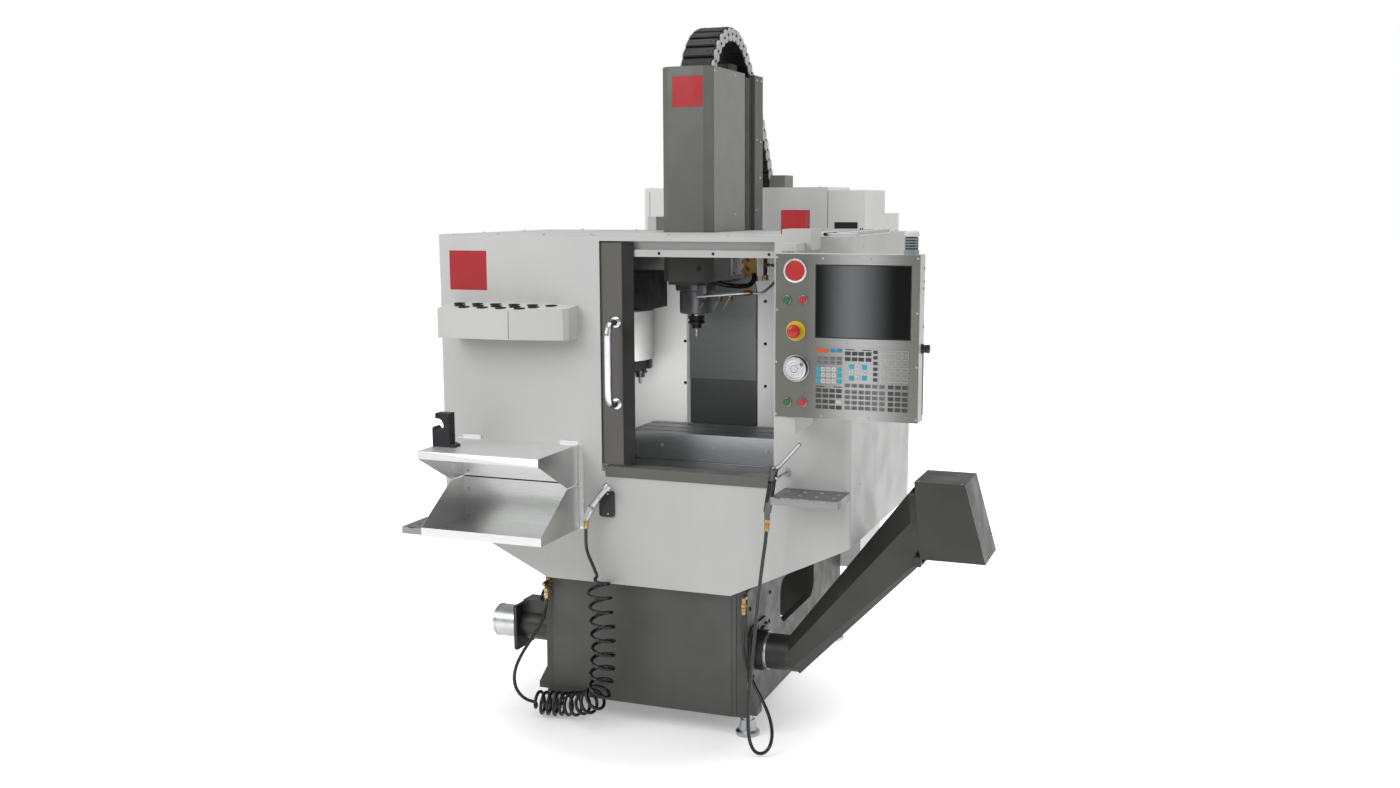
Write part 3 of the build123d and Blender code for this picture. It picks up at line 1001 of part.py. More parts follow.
def make_guns():
    grip_top, grip_end = (-137, -60, 798), (-153, -60, 765)
    frame = Plane(origin=grip_top, x_dir=(33, 0, -16), z_dir=(-16, 0, -33))
    gun = rod((-91, -43, 862), (-116, -55, 830), 10) + rod((-116, -55, 830), grip_top, 11)
    gun += rod(grip_top, grip_end, 12) + Pos(-116, -55, 830) * Sphere(11) + Pos(*grip_top) * Sphere(12)
    gun += rod((-91, -43, 862), (-82, -38.5, 873), 16) + rod(grip_end, (-160, -60, 750), 9)
    gun += lever_seat(frame, WASH_LEVER_REACH)
    gun -= squeeze_room(frame, WASH_LEVER_REACH)
    put("wash_gun", gun)
    put("wash_gun_lever", squeeze_lever(frame, WASH_LEVER_REACH, 46))
    frame = Plane(origin=(521, -90, 935), x_dir=(140, 0, -23), z_dir=(-23, 0, -140))
    gun = rod((505, -90, 837), (528, -90, 977), 13) + Pos(528, -90, 977) * Sphere(14)
    gun += rod((528, -90, 977), (548, -90, 992), 7) + Pos(548, -90, 992) * Sphere(7)
    gun += rod((548, -90, 992), (615, -90, 1068), 6) + rod((505, -90, 837), (505, -90, 804), 9)
    gun += lever_seat(frame, AIR_LEVER_REACH)
    gun -= squeeze_room(frame, AIR_LEVER_REACH)
    put("air_gun", gun)
    put("air_gun_trigger", squeeze_lever(frame, AIR_LEVER_REACH, 62))


def squeeze_room(frame, reach):
    # The space between the seat's ears in which the lever swings round its pin.
    gap = Pos(0, reach + 2.1, 0) * Box(12, 12.5, 9.5)
    return frame * (gap - Pos(0, reach, 0) * Rot(0, 90, 0) * Cylinder(1.5, 18))


def make_hose_fittings():
    holder = block((-134, -78), (-8, 0), (754, 846))
    holder = fillet(holder.edges().filter_by(Axis.Y), 10)
    holder += rod((-121, -8, 829), (-121, -43.7, 829), 5)
    peg = rod((542, 0, 955), (542, -110, 955), 4) + rod((542, 0, 955), (542, -4, 955), 14)
    valve = rod((-370, BASE_FRONT, 481), (-370, 30, 481), 9) + rod((-370, 42, 481), (-370, 42, 453), 7)
    valve += rod((-370, 30, 481), (-370, 18, 481), 3) + rod((-370, 20, 481), (-370, 17, 481), 5)
    valve += rod((-370, BASE_FRONT, 481), (-370, BASE_FRONT - 8, 481), 12)
    elbow = rod((378, BASE_FRONT, 496), (378, 46, 496), 8) + rod((378, 46, 496), (378, 46, 470), 7)
    elbow += Pos(378, 46, 496) * Sphere(8)
    put("hose_fittings", Compound(children=[*holder.solids(), *peg.solids(), *valve.solids(), *elbow.solids()]))
    lever = rod((-370, 29.7, 481), (-370, 20.3, 481), 8)
    lever += Plane(origin=(-370, 25, 481), x_dir=(31, 0, -30), z_dir=(0, 1, 0)) * Pos(20, 0, 0) * Box(46, 12, 5)
    lever -= rod((-370, 32, 481), (-370, 19, 481), 3 + RUNNING_FIT)
    put("valve_lever", lever)


def make_hoses():
    # The curly part of the wash hose is one fat tube of its outer width.
    coil_top, coil_end = (-122, -58, 556), (-402, -6, 46)
    lead = [(-160, -60, 750), (-163, -60, 690), (-160, -60, 640), (-140, -58, 596), coil_top]
    coil = [coil_top, (-98, -58, 330), (-118, -56, 110), (-250, 18, 48), coil_end]
    rise = [coil_end, (-440, -18, 58), (-468, -32, 100), (-470, -34, 162), (-444, -20, 228), (-402, 0, 296),
            (-376, 24, 352), (-370, 40, 404), (-370, 42, 453)]
    pieces = [tube(lead, HOSE_RADIUS), tube(coil, COIL_RADIUS), tube(rise, HOSE_RADIUS)]
    put("wash_hose", Compound(children=[solid for piece in pieces for solid in piece.solids()]))
    air = [(505, -90, 804), (501, -90, 743), (491, -91, 676), (480, -90, 586), (469, -91, 471), (457, -90, 353),
           (447, -92, 240), (441, -93, 140), (444, -96, 64), (462, -94, 16), (492, -86, 9), (513, -72, 32),
           (517, -58, 76), (500, -40, 126), (466, -14, 168), (426, 14, 208), (394, 32, 262), (378, 40, 330),
           (376, 44, 400), (378, 46, 470)]
    put("air_hose", tube(air, HOSE_RADIUS))


make_front_panel()
make_body_panels()
make_roof()
make_chip_pan()
make_sill_and_track()
make_door()
make_tool_tray()
make_shelves()
make_tool_fixture()
make_racks()
make_base()
make_feet()
make_auger()
make_chute()
make_axis_drives()
make_way_covers()
make_saddle()
make_table()
make_column()
make_head()
make_head_cover()
make_coolant_manifold()
make_cable_carrier()
make_cabinet()
make_tool_changer()
make_pendant()
make_guns()
make_hose_fittings()
make_hoses()
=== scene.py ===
import math
import bmesh
import bpy
import numpy as np
from mathutils import Matrix, Vector


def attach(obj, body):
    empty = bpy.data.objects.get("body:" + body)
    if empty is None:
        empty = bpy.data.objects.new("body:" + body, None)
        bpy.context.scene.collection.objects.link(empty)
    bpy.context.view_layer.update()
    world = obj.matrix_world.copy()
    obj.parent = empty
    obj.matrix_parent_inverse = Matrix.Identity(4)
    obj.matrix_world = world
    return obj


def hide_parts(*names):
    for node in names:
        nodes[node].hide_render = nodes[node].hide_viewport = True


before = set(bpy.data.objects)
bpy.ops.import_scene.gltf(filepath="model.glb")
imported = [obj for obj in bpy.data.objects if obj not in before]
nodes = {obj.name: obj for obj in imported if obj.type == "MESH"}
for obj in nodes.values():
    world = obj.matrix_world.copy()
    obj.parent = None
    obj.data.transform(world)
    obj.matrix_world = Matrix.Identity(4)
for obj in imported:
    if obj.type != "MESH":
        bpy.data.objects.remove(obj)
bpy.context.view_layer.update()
print("stage: frame loaded")

# The machine is measured in millimetres from the spindle axis, the front panel and the floor.
# Everything below is placed in metres, with the origin under the middle of the footprint.
machineOrigin = np.array([215.0, 691.0, 0.0])


def place(x, y, z):
    return tuple((np.array([x, y, z], float) - machineOrigin) / 1000)


def placed(points):
    return (np.asarray(points, float) - machineOrigin) / 1000


# Where the photo was taken from: metres, then degrees to the left, down and round, then millimetres.
photoCamera = {"spot": (1.651, -4.941, 1.835), "left": 20.95, "down": 7.95, "roll": -0.20, "lens": 35.4,
               "sensor": 36.0, "clip": (0.05, 60)}


def makeCamera(settings):
    # A level heading is tilted down by the pitch, then turned about itself by the roll.
    yaw, pitch, roll = (math.radians(settings[k]) for k in ("left", "down", "roll"))
    level = Vector((-math.sin(yaw), math.cos(yaw), 0))
    side = Vector((math.cos(yaw), math.sin(yaw), 0))
    ahead = level * math.cos(pitch) - Vector((0, 0, math.sin(pitch)))
    lift = level * math.sin(pitch) + Vector((0, 0, math.cos(pitch)))
    right = side * math.cos(roll) + lift * math.sin(roll)
    up = lift * math.cos(roll) - side * math.sin(roll)
    data = bpy.data.cameras.new("photoCamera")
    data.lens = settings["lens"]
    data.sensor_width = settings["sensor"]
    data.clip_start, data.clip_end = settings["clip"]
    camera = bpy.data.objects.new("photoCamera", data)
    turn = Matrix((right, up, -ahead)).transposed().to_4x4()
    camera.matrix_world = Matrix.Translation(settings["spot"]) @ turn
    bpy.context.scene.collection.objects.link(camera)
    bpy.context.scene.camera = camera


makeCamera(photoCamera)


# The three directions of each side of the machine: across, up and outwards.
facings = {"front": ((1, 0, 0), (0, 0, 1), (0, -1, 0)), "back": ((-1, 0, 0), (0, 0, 1), (0, 1, 0)),
           "right": ((0, 1, 0), (0, 0, 1), (1, 0, 0)), "left": ((0, -1, 0), (0, 0, 1), (-1, 0, 0)),
           "up": ((1, 0, 0), (0, 1, 0), (0, 0, 1)), "down": ((1, 0, 0), (0, -1, 0), (0, 0, -1))}


def gridFaces(rows, columns, closedU=False, closedV=False):
    # Corner numbers of each cell of a grid of points, with the last row or column joined to the first.
    i, j = np.meshgrid(np.arange(rows if closedU else rows - 1),
                       np.arange(columns if closedV else columns - 1), indexing="ij")
    nextI, nextJ = (i + 1) % rows, (j + 1) % columns
    quads = np.stack([i * columns + j, nextI * columns + j, nextI * columns + nextJ, i * columns + nextJ], -1)
    return quads.reshape(-1, 4)


def frames(spots, facing="front"):
    # Every spot gets an origin and the three directions of the face that it sits on.
    origins = np.array(spots, float).reshape(-1, 3)
    return origins, np.broadcast_to(np.array(facings[facing], float), (len(origins), 3, 3))


def turnedGrid(profile, sides=12, phase=0.0):
    # (r cos a, r sin a, h) for each corner (r, h) of the profile and each angle a of the sides.
    r, h = np.array(profile, float).T
    a = phase + 2 * np.pi * np.arange(sides) / sides
    return np.stack([np.outer(r, np.cos(a)), np.outer(r, np.sin(a)), np.outer(h, np.ones(sides))], -1)


def slabGrid(width, height, corner, thick, edge=0.3, sunk=0.3, arc=4):
    # A rounded rectangle raised from `sunk` below its face to `thick` above it, with a soft edge.
    corner = min(corner, width / 2, height / 2) * 0.999
    angle = np.concatenate([np.linspace(0, np.pi / 2, arc) + k * np.pi / 2 for k in range(4)])
    x = np.repeat([1, -1, -1, 1], arc) * (width / 2 - corner) + corner * np.cos(angle)
    y = np.repeat([1, 1, -1, -1], arc) * (height / 2 - corner) + corner * np.sin(angle)
    wide = np.array([0, 1, 1, 1 - 2 * edge / width, 0])
    tall = np.array([0, 1, 1, 1 - 2 * edge / height, 0])
    level = np.array([-sunk, -sunk, thick - edge, thick, thick])
    return np.stack([np.outer(wide, x), np.outer(tall, y), np.outer(level, np.ones(len(x)))], -1)


def tubeGrid(line, radius, sides=12, reference=(0, 1, 0)):
    # Circles square to the line at each of its points, closed at both ends.
    line = np.array(line, float)
    along = np.gradient(line, axis=0)
    along /= np.linalg.norm(along, axis=1)[:, None]
    u = np.cross(along, reference)
    u /= np.linalg.norm(u, axis=1)[:, None]
    v = np.cross(along, u)
    a = 2 * np.pi * np.arange(sides) / sides
    reach = np.broadcast_to(np.asarray(radius, float), (len(line),))[:, None, None]
    rings = line[:, None] + reach * (np.cos(a)[:, None] * u[:, None] + np.sin(a)[:, None] * v[:, None])
    ends = [np.repeat(line[k][None, None], sides, 1) for k in (0, -1)]
    return np.concatenate([ends[0], rings, ends[1]])


def roundedPath(points, step=2.0):
    # Straight runs whose corners are parabolas, each from 0.45 of the shorter run before it to as far behind.
    points = np.array(points, float)
    runs = np.diff(points, axis=0)
    lengths = np.linalg.norm(runs, axis=1)
    heading = runs / lengths[:, None]
    cut = 0.45 * np.minimum(lengths[:-1], lengths[1:])[:, None]
    first, last, corner = points[1:-1] - cut * heading[:-1], points[1:-1] + cut * heading[1:], points[1:-1]
    t = np.linspace(0, 1, 14)[:, None, None]
    bends = (1 - t) ** 2 * first + 2 * t * (1 - t) * corner + t * t * last
    line = np.concatenate([points[:1], bends.transpose(1, 0, 2).reshape(-1, 3), points[-1:]])
    reach = np.concatenate([[0], np.cumsum(np.linalg.norm(np.diff(line, axis=0), axis=1))])
    even = np.linspace(0, reach[-1], int(reach[-1] / step) + 2)
    return np.column_stack([np.interp(even, reach, line[:, k]) for k in range(3)])


def madePiece(name, points, quads, body, finish, sharp=35.0):
    # Points in machine millimetres become one closed, outward-facing mesh that rides on its body.
    mesh = bpy.data.meshes.new(name)
    mesh.from_pydata(placed(points), [], quads)
    shell = bmesh.new()
    shell.from_mesh(mesh)
    bmesh.ops.remove_doubles(shell, verts=shell.verts, dist=2e-6)
    bmesh.ops.recalc_face_normals(shell, faces=shell.faces)
    shell.to_mesh(mesh)
    shell.free()
    mesh.polygons.foreach_set("use_smooth", np.ones(len(mesh.polygons), bool))
    mesh.set_sharp_from_angle(angle=math.radians(sharp))
    mesh.materials.append(finish)
    piece = bpy.data.objects.new(name, mesh)
    bpy.context.scene.collection.objects.link(piece)
    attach(piece, body)
    return piece


def stamped(name, body, finish, parts, sharp=35.0):
    # Each part is a grid with closed columns and the frames it is repeated in; True closes its rows too.
    points, quads, used = [], [], 0
    for grid, (origins, bases), *ring in parts:
        rows, columns = grid.shape[:2]
        spots = np.einsum("mk,nkj->nmj", grid.reshape(-1, 3), bases) + origins[:, None]
        faces = gridFaces(rows, columns, bool(ring), True)
        offsets = used + np.arange(len(origins))[:, None, None] * rows * columns
        points.append(spots.reshape(-1, 3))
        quads.append((faces + offsets).reshape(-1, 4))
        used += spots.shape[0] * rows * columns
    return madePiece(name, np.concatenate(points), np.concatenate(quads), body, finish, sharp)


def slabs(name, body, slot, finish, facing, *rows):
    # Each row is a slab's measures and the middles of its copies, all on one side of the machine.
    parts = [(slabGrid(*measures), frames(spots, facing)) for measures, spots in rows]
    stamped(name, body, finish, parts)


# For a grid whose points already stand where they belong.
wholeFrame = (np.zeros((1, 3)), np.eye(3)[None])


def coilPoints(route):
    # The coil's centre line carries a circle whose angle grows by 2 pi per pitch. Its radius rises from
    # nothing and falls back to it, over the two numbers of turns in `taper`, and swells a little between.
    line = roundedPath(route["centre"], route["step"])
    along = np.gradient(line, axis=0)
    along /= np.linalg.norm(along, axis=1)[:, None]
    side = np.cross(along, [0.0, 1.0, 0.0])
    side /= np.linalg.norm(side, axis=1)[:, None]
    front = np.cross(side, along)
    done = np.linspace(0, 1, len(line))
    turns = np.cumsum(route["step"] / np.interp(done, *route["pitch"]))
    wanted = np.arange(0.5 / route["perTurn"], turns[-1], 1 / route["perTurn"])
    rise, fall = route["taper"]
    swell, pace = route["swell"]
    ends = np.clip(wanted / rise, 0, 1) * np.clip((turns[-1] - wanted) / fall, 0, 1)
    reach = route["radius"] * ends * ends * (3 - 2 * ends) * (1 + swell * np.sin(pace * wanted))
    angle = route["phase"] + 2 * np.pi * wanted
    line, side, front = (np.column_stack([np.interp(wanted, turns, field[:, k]) for k in range(3)])
                         for field in (line, side, front))
    return line + reach[:, None] * (np.cos(angle)[:, None] * side + np.sin(angle)[:, None] * front)


def hoseCurve(name, points, diameter):
    # One open line that follows the points smoothly, with a round section.
    data = bpy.data.curves.new(name, "CURVE")
    data.dimensions = "3D"
    # The points' own radius sets the thickness. With the usual radius of 1 the bounds would be 1 m too wide.
    data.bevel_depth = 1.0
    data.bevel_resolution = 3
    data.resolution_u = 4
    data.use_fill_caps = True
    spline = data.splines.new("NURBS")
    spots = placed(points)
    spline.points.add(len(spots) - 1)
    spline.points.foreach_set("co", np.column_stack([spots, np.ones(len(spots))]).ravel())
    spline.points.foreach_set("radius", np.full(len(spots), diameter / 2))
    spline.order_u = 3
    spline.use_endpoint_u = True
    hose = bpy.data.objects.new(name, data)
    bpy.context.scene.collection.objects.link(hose)
    return hose


washHoseRoute = {
    "lead": [(-160, -60, 750), (-163, -60, 690), (-160, -60, 640), (-140, -58, 596)],
    "centre": [(-122, -58, 556), (-98, -58, 330), (-118, -56, 110), (-250, 18, 48), (-402, -6, 46)],
    "pitch": ([0, 0.55, 0.75, 0.85, 1], [52, 47, 38, 26, 23]), "radius": 39.6, "phase": 2.6,
    "taper": (0.75, 0.7), "swell": (0.035, 2.1), "perTurn": 14, "step": 2.0,
    "back": [(-402, -6, 46), (-440, -18, 58), (-468, -32, 100), (-470, -34, 162), (-444, -20, 228),
             (-402, 0, 296), (-376, 24, 352), (-370, 40, 404), (-370, 42, 453)],
    "diameter": 0.012}
airHoseRoute = {
    "points": [(505, -90, 804), (501, -90, 743), (491, -91, 676), (480, -90, 586), (469, -91, 471),
               (457, -90, 353), (447, -92, 240), (441, -93, 140), (444, -96, 64), (462, -94, 16),
               (492, -86, 9), (513, -72, 32), (517, -58, 76), (500, -40, 126), (466, -14, 168),
               (426, 14, 208), (394, 32, 262), (378, 40, 330), (376, 44, 400), (378, 46, 470)],
    "diameter": 0.012}

washHosePoints = np.vstack([washHoseRoute["lead"], coilPoints(washHoseRoute), washHoseRoute["back"]])
washHose = hoseCurve("washHose", washHosePoints, washHoseRoute["diameter"])
airHose = hoseCurve("airHose", airHoseRoute["points"], airHoseRoute["diameter"])
for hose, node, route, start, lay in (
        (washHose, "wash_hose", washHoseRoute, washHoseRoute["lead"][0], "coiled"),
        (airHose, "air_hose", airHoseRoute, airHoseRoute["points"][0], "hanging")):
    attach(hose, "machine")
    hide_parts(node)
print("stage: hoses")


def linear(red, green, blue):
    # The curve that turns a colour picker's 0 to 255 values into the shader's light values.
    value = np.array([red, green, blue], float) / 255
    return tuple(np.where(value <= 0.04045, value / 12.92, ((value + 0.055) / 1.055) ** 2.4)) + (1.0,)


class NodeTree:
    # The nodes of a material or of the world.
    def __init__(self, holder):
        holder.use_nodes = True
        self.tree = holder.node_tree

    def node(self, kind, **settings):
        made = self.tree.nodes.new(kind)
        for key, value in settings.items():
            setattr(made, key, value)
        return made

    def join(self, source, target):
        self.tree.links.new(source, target)


class Finish(NodeTree):
    # A material whose patterns are all worked out from the piece's own coordinates.
    def __init__(self, name, roughness, metallic=0.0, **sockets):
        self.material = bpy.data.materials.new(name)
        super().__init__(self.material)
        self.shader = next(n for n in self.tree.nodes if n.type == "BSDF_PRINCIPLED")
        self.shader.inputs["Roughness"].default_value = roughness
        self.shader.inputs["Metallic"].default_value = metallic
        for socket, value in sockets.items():
            self.shader.inputs[socket.replace("_", " ")].default_value = value
        self.spot = self.node("ShaderNodeTexCoord").outputs["Object"]

    def noise(self, scale, detail=3.0, grain=(1, 1, 1), rough=0.5):
        mapping = self.node("ShaderNodeMapping")
        mapping.inputs["Scale"].default_value = grain
        self.join(self.spot, mapping.inputs["Vector"])
        made = self.node("ShaderNodeTexNoise")
        for socket, value in (("Scale", scale), ("Detail", detail), ("Roughness", rough)):
            made.inputs[socket].default_value = value
        self.join(mapping.outputs["Vector"], made.inputs["Vector"])
        return made.outputs["Fac"]

    def spread(self, value, low, high, start=0.35, end=0.65):
        made = self.node("ShaderNodeMapRange")
        for socket, number in (("From Min", start), ("From Max", end), ("To Min", low), ("To Max", high)):
            made.inputs[socket].default_value = number
        self.join(value, made.inputs["Value"])
        return made.outputs["Result"]

    def between(self, value, first, second, start=0.35, end=0.65):
        made = self.node("ShaderNodeValToRGB")
        stops = made.color_ramp.elements
        stops[0].position, stops[1].position = start, end
        stops[0].color, stops[1].color = first, second
        self.join(value, made.inputs["Fac"])
        return made.outputs["Color"]

    def band(self, stops, start, end):
        # Colours across X from start to end in millimetres, each given as (share of the way, shade). Both
        # finishes that use it paint a reflection with it.
        split = self.node("ShaderNodeSeparateXYZ")
        self.join(self.spot, split.inputs["Vector"])
        ramp = self.node("ShaderNodeValToRGB")
        ramp.color_ramp.interpolation = "EASE"
        elements = ramp.color_ramp.elements
        for _ in stops[2:]:
            elements.new(0.5)
        for element, (share, shade) in zip(elements, stops):
            element.position, element.color = share, linear(*shade)
        ends = place(start, 0, 0)[0], place(end, 0, 0)[0]
        self.join(self.spread(split.outputs["X"], 0.0, 1.0, *ends), ramp.inputs["Fac"])
        return ramp.outputs["Color"]

    def colour(self, value):
        self.join(value, self.shader.inputs["Base Color"])

    def roughness(self, value):
        self.join(value, self.shader.inputs["Roughness"])

    def relief(self, value, strength, depth, softEdge=0.0):
        bump = self.node("ShaderNodeBump")
        bump.inputs["Strength"].default_value = strength
        bump.inputs["Distance"].default_value = depth
        self.join(value, bump.inputs["Height"])
        if softEdge:
            edge = self.node("ShaderNodeBevel", samples=4)
            edge.inputs["Radius"].default_value = softEdge
            self.join(edge.outputs["Normal"], bump.inputs["Normal"])
        self.join(bump.outputs["Normal"], self.shader.inputs["Normal"])


def powderCoat(name, shade, dirty, roughness=0.42, grain=520):
    # Powder coat: a fine orange peel, cloudy soiling and streaks that run down the sheet.
    made = Finish(name, roughness)
    cloud = made.noise(2.2, 4.0, (1, 1, 0.35), 0.6)
    made.colour(made.between(cloud, linear(*dirty), linear(*shade), 0.3, 0.62))
    made.roughness(made.spread(made.noise(9.0, 4.0), roughness - 0.06, roughness + 0.09))
    made.relief(made.noise(grain, 2.0), 0.10, 0.0004, 0.0012)
    return made.material


def castPaint(name, shade, dirty, roughness=0.5):
    # Painted casting: coarser skin with low waves under it.
    made = Finish(name, roughness)
    made.colour(made.between(made.noise(5.0, 5.0), linear(*dirty), linear(*shade)))
    made.roughness(made.spread(made.noise(14.0, 3.0), roughness - 0.08, roughness + 0.1))
    made.relief(made.noise(150.0, 5.0, (1, 1, 1), 0.7), 0.25, 0.0008, 0.0025)
    return made.material


# The strokes on brushed sheet run along X, so its noise is drawn out that way.
stroke = (0.02, 1, 1)


def brushed(name, shade, worn, roughness):
    # Brushed or ground sheet: fine strokes in its colour, its gloss and its relief.
    made = Finish(name, roughness, 0.9)
    lines = made.noise(900.0, 4.0, stroke, 0.6)
    made.colour(made.between(lines, linear(*worn), linear(*shade), 0.25, 0.75))
    made.roughness(made.spread(made.noise(6.0, 4.0, stroke), roughness - 0.05, roughness + 0.09))
    made.relief(lines, 0.05, 0.0003, 0.0008)
    return made.material


def paintedSheenSteel(name, stops, left, right):
    # Brushed sheet with a painted reflection in its colour: long soft bands from dark edges to a light middle
    # across its width, times the strokes' shades.
    made = Finish(name, 0.38, 0.75)
    lines = made.noise(900.0, 4.0, stroke, 0.6)
    # Painted reflection: the band's light middle and dark edges, multiplied by the strokes' shades.
    worn = made.node("ShaderNodeMix", data_type="RGBA", blend_type="MULTIPLY")
    worn.inputs["Factor"].default_value = 1.0
    made.join(made.band(stops, left, right), worn.inputs["A"])
    made.join(made.between(lines, linear(226, 226, 226), linear(255, 255, 255), 0.25, 0.75), worn.inputs["B"])
    made.colour(worn.outputs["Result"])
    made.roughness(made.spread(made.noise(6.0, 4.0, stroke), 0.33, 0.44))
    made.relief(lines, 0.05, 0.0003, 0.0008)
    return made.material


def plainMetal(name, shade, worn, roughness, metallic=1.0, clouds=12.0, pits=300.0, strength=0.03):
    # Bare metal, a little cloudy, with fine pits.
    made = Finish(name, roughness, metallic)
    made.colour(made.between(made.noise(clouds, 4.0), linear(*worn), linear(*shade)))
    made.roughness(made.spread(made.noise(clouds * 3, 3.0), max(0.02, roughness - 0.05), roughness + 0.08))
    made.relief(made.noise(pits, 3.0), strength, 0.0003, 0.0006)
    return made.material


def plastic(name, shade, worn, roughness, grain=700.0, strength=0.08, **sockets):
    # Moulded plastic or rubber with a fine grain.
    made = Finish(name, roughness, **sockets)
    made.colour(made.between(made.noise(18.0, 3.0), linear(*worn), linear(*shade)))
    made.roughness(made.spread(made.noise(40.0, 3.0), roughness - 0.04, roughness + 0.06))
    made.relief(made.noise(grain, 2.0), strength, 0.0002, 0.0005)
    return made.material


def clearSheet(name, shade, scratch):
    # A clear pane with faint streaks of wiping.
    made = Finish(name, 0.06, IOR=1.49, Transmission_Weight=1.0)
    made.colour(made.between(made.noise(3.0, 4.0), linear(*scratch), linear(*shade), 0.2, 0.5))
    made.roughness(made.spread(made.noise(60.0, 5.0, (1, 1, 0.2)), 0.03, 0.12))
    made.relief(made.noise(250.0, 2.0), 0.02, 0.0002)
    return made.material


def paintedReflectionScreen(name, stops, left, right):
    # The unlit display: black at its sides with a soft lighter band, which is a painted reflection on its
    # glass.
    made = Finish(name, 0.3, Specular_IOR_Level=0.12)
    made.colour(made.band(stops, left, right))
    made.roughness(made.spread(made.noise(30.0, 3.0), 0.25, 0.34))
    made.relief(made.noise(400.0, 1.0), 0.02, 0.0001)
    return made.material


# The pendant, in machine millimetres: its sides and front, and the middle of what is on its face.
pendant = {"left": 598, "right": 1036, "front": -300, "screen": 867, "screenWidth": 290, "wheel": (663, 1337),
           "stop": (662, 1450), "badge": (659, 1630), "buttonRows": (1543, 1233.5)}

# Shades are what a colour picker reads, first clean and then worn.
lightPaint = powderCoat("lightPowderCoat", (203, 203, 202), (195, 195, 194))
cabinetPaint = powderCoat("cabinetPowderCoat", (243, 243, 242), (234, 234, 233))
doorPaint = powderCoat("doorPowderCoat", (92, 91, 86), (84, 83, 79), 0.38)
# Painted shade: the door frame's angled fold, a darker copy of the door paint.
paintedShadeDoorFold = powderCoat("doorFoldPaintedShadeCoat", (20, 20, 19), (16, 16, 15), 0.65)
coverPaint = powderCoat("coverPowderCoat", (96, 96, 92), (88, 88, 84), 0.36)
greyCover = powderCoat("greyCover", (138, 138, 136), (128, 128, 126), 0.42)
# Painted light: the head cover's right side, a lighter copy of its paint.
paintedLightCoverSide = powderCoat("coverSidePaintedLightCoat", (144, 144, 140), (136, 136, 132), 0.4)
chutePaint = powderCoat("chutePowderCoat", (47, 47, 44), (41, 41, 38), 0.36)
# Painted shade: the discharge hood's right side, a darker copy of the chute paint.
paintedShadeHoodSide = powderCoat("hoodSidePaintedShadeCoat", (38, 38, 36), (32, 32, 30), 0.4)
baseCoverPaint = powderCoat("baseCoverPowderCoat", (78, 78, 75), (70, 70, 67), 0.45)
trayPaint = powderCoat("trayPlastic", (205, 205, 203), (197, 197, 195), 0.4, 700)
redPaint = powderCoat("redPaint", (176, 6, 22), (160, 5, 19), 0.45)
castingPaint = castPaint("castingPaint", (74, 74, 72), (64, 64, 62))
machineBlack = castPaint("blackEnamel", (38, 38, 39), (30, 30, 31), 0.42)
sheetSteel = brushed("brushedSheet", (214, 215, 214), (188, 189, 188), 0.3)
# Painted reflection on the pendant's brushed face: darker at its sides, lighter in the middle.
pendantPaintedSheenStops = ((0.20, (112, 112, 107)), (0.62, (186, 187, 186)), (0.97, (122, 122, 118)))
pendantSteelPaintedSheen = paintedSheenSteel("pendantSheetPaintedSheen", pendantPaintedSheenStops, pendant["left"], pendant["right"])
bezelSteel = plainMetal("bezelSteel", (140, 141, 141), (118, 119, 119), 0.28)
# Painted light: the shelf's top, a brighter copy of the brushed sheet for the light it reflects.
paintedLightShelfTop = brushed("shelfTopPaintedLightSheet", (250, 250, 250), (230, 231, 230), 0.5)
rackSteel = brushed("rackSheet", (146, 147, 146), (124, 125, 124), 0.34)
coverSteel = brushed("wayCoverSheet", (180, 181, 182), (162, 163, 164), 0.4)
lowerCoverSteel = brushed("lowerWayCoverSheet", (144, 145, 146), (128, 129, 130), 0.42)
tableSteel = brushed("groundTable", (146, 149, 152), (124, 127, 130), 0.36)
tableFaceSteel = brushed("groundTableFace", (226, 229, 232), (196, 199, 202), 0.42)
groundSteel = plainMetal("groundSteel", (178, 179, 180), (150, 151, 152), 0.3)
darkSteel = plainMetal("blackenedSteel", (52, 52, 54), (40, 40, 42), 0.38, 0.8)
noseSteel = plainMetal("noseSteel", (122, 123, 127), (104, 105, 109), 0.36, 0.8)
gunMetal = plainMetal("gunMetal", (98, 98, 100), (80, 80, 82), 0.32, 0.85)
chrome = plainMetal("chromePlate", (222, 222, 224), (210, 210, 212), 0.07, 1.0, 8.0, 200.0, 0.01)
aluminium = plainMetal("turnedAluminium", (196, 197, 199), (176, 177, 179), 0.32)
brass = plainMetal("brassFittings", (178, 148, 98), (146, 118, 76), 0.28)
zinc = plainMetal("zincPlate", (186, 188, 190), (160, 162, 164), 0.35)
whitePlastic = plastic("whitePlastic", (224, 224, 220), (214, 214, 210), 0.3)
drumPlastic = plastic("carouselPlastic", (176, 177, 175), (166, 167, 165), 0.4)
blackPlastic = plastic("blackPlastic", (30, 30, 31), (23, 23, 24), 0.45)
chainPlastic = plastic("carrierPlastic", (36, 36, 37), (26, 26, 27), 0.42)
rubber = plastic("hoseRubber", (11, 11, 12), (7, 7, 8), 0.22, 900.0, 0.03)
greenCap = plastic("greenCap", (24, 118, 62), (18, 100, 52), 0.22)
redCap = plastic("redCap", (206, 44, 46), (186, 36, 38), 0.22)
yellowPlate = plastic("yellowPlate", (226, 202, 40), (212, 188, 34), 0.35)
orangeKey = plastic("orangeKey", (214, 92, 34), (200, 82, 30), 0.4)
blueKey = plastic("blueKey", (46, 140, 184), (40, 128, 172), 0.4)
cyanKey = plastic("cyanKey", (52, 176, 196), (44, 162, 182), 0.4)
lightKey = plastic("lightKey", (206, 207, 205), (194, 195, 193), 0.42)
greyKey = plastic("greyKey", (118, 119, 118), (104, 105, 104), 0.42)
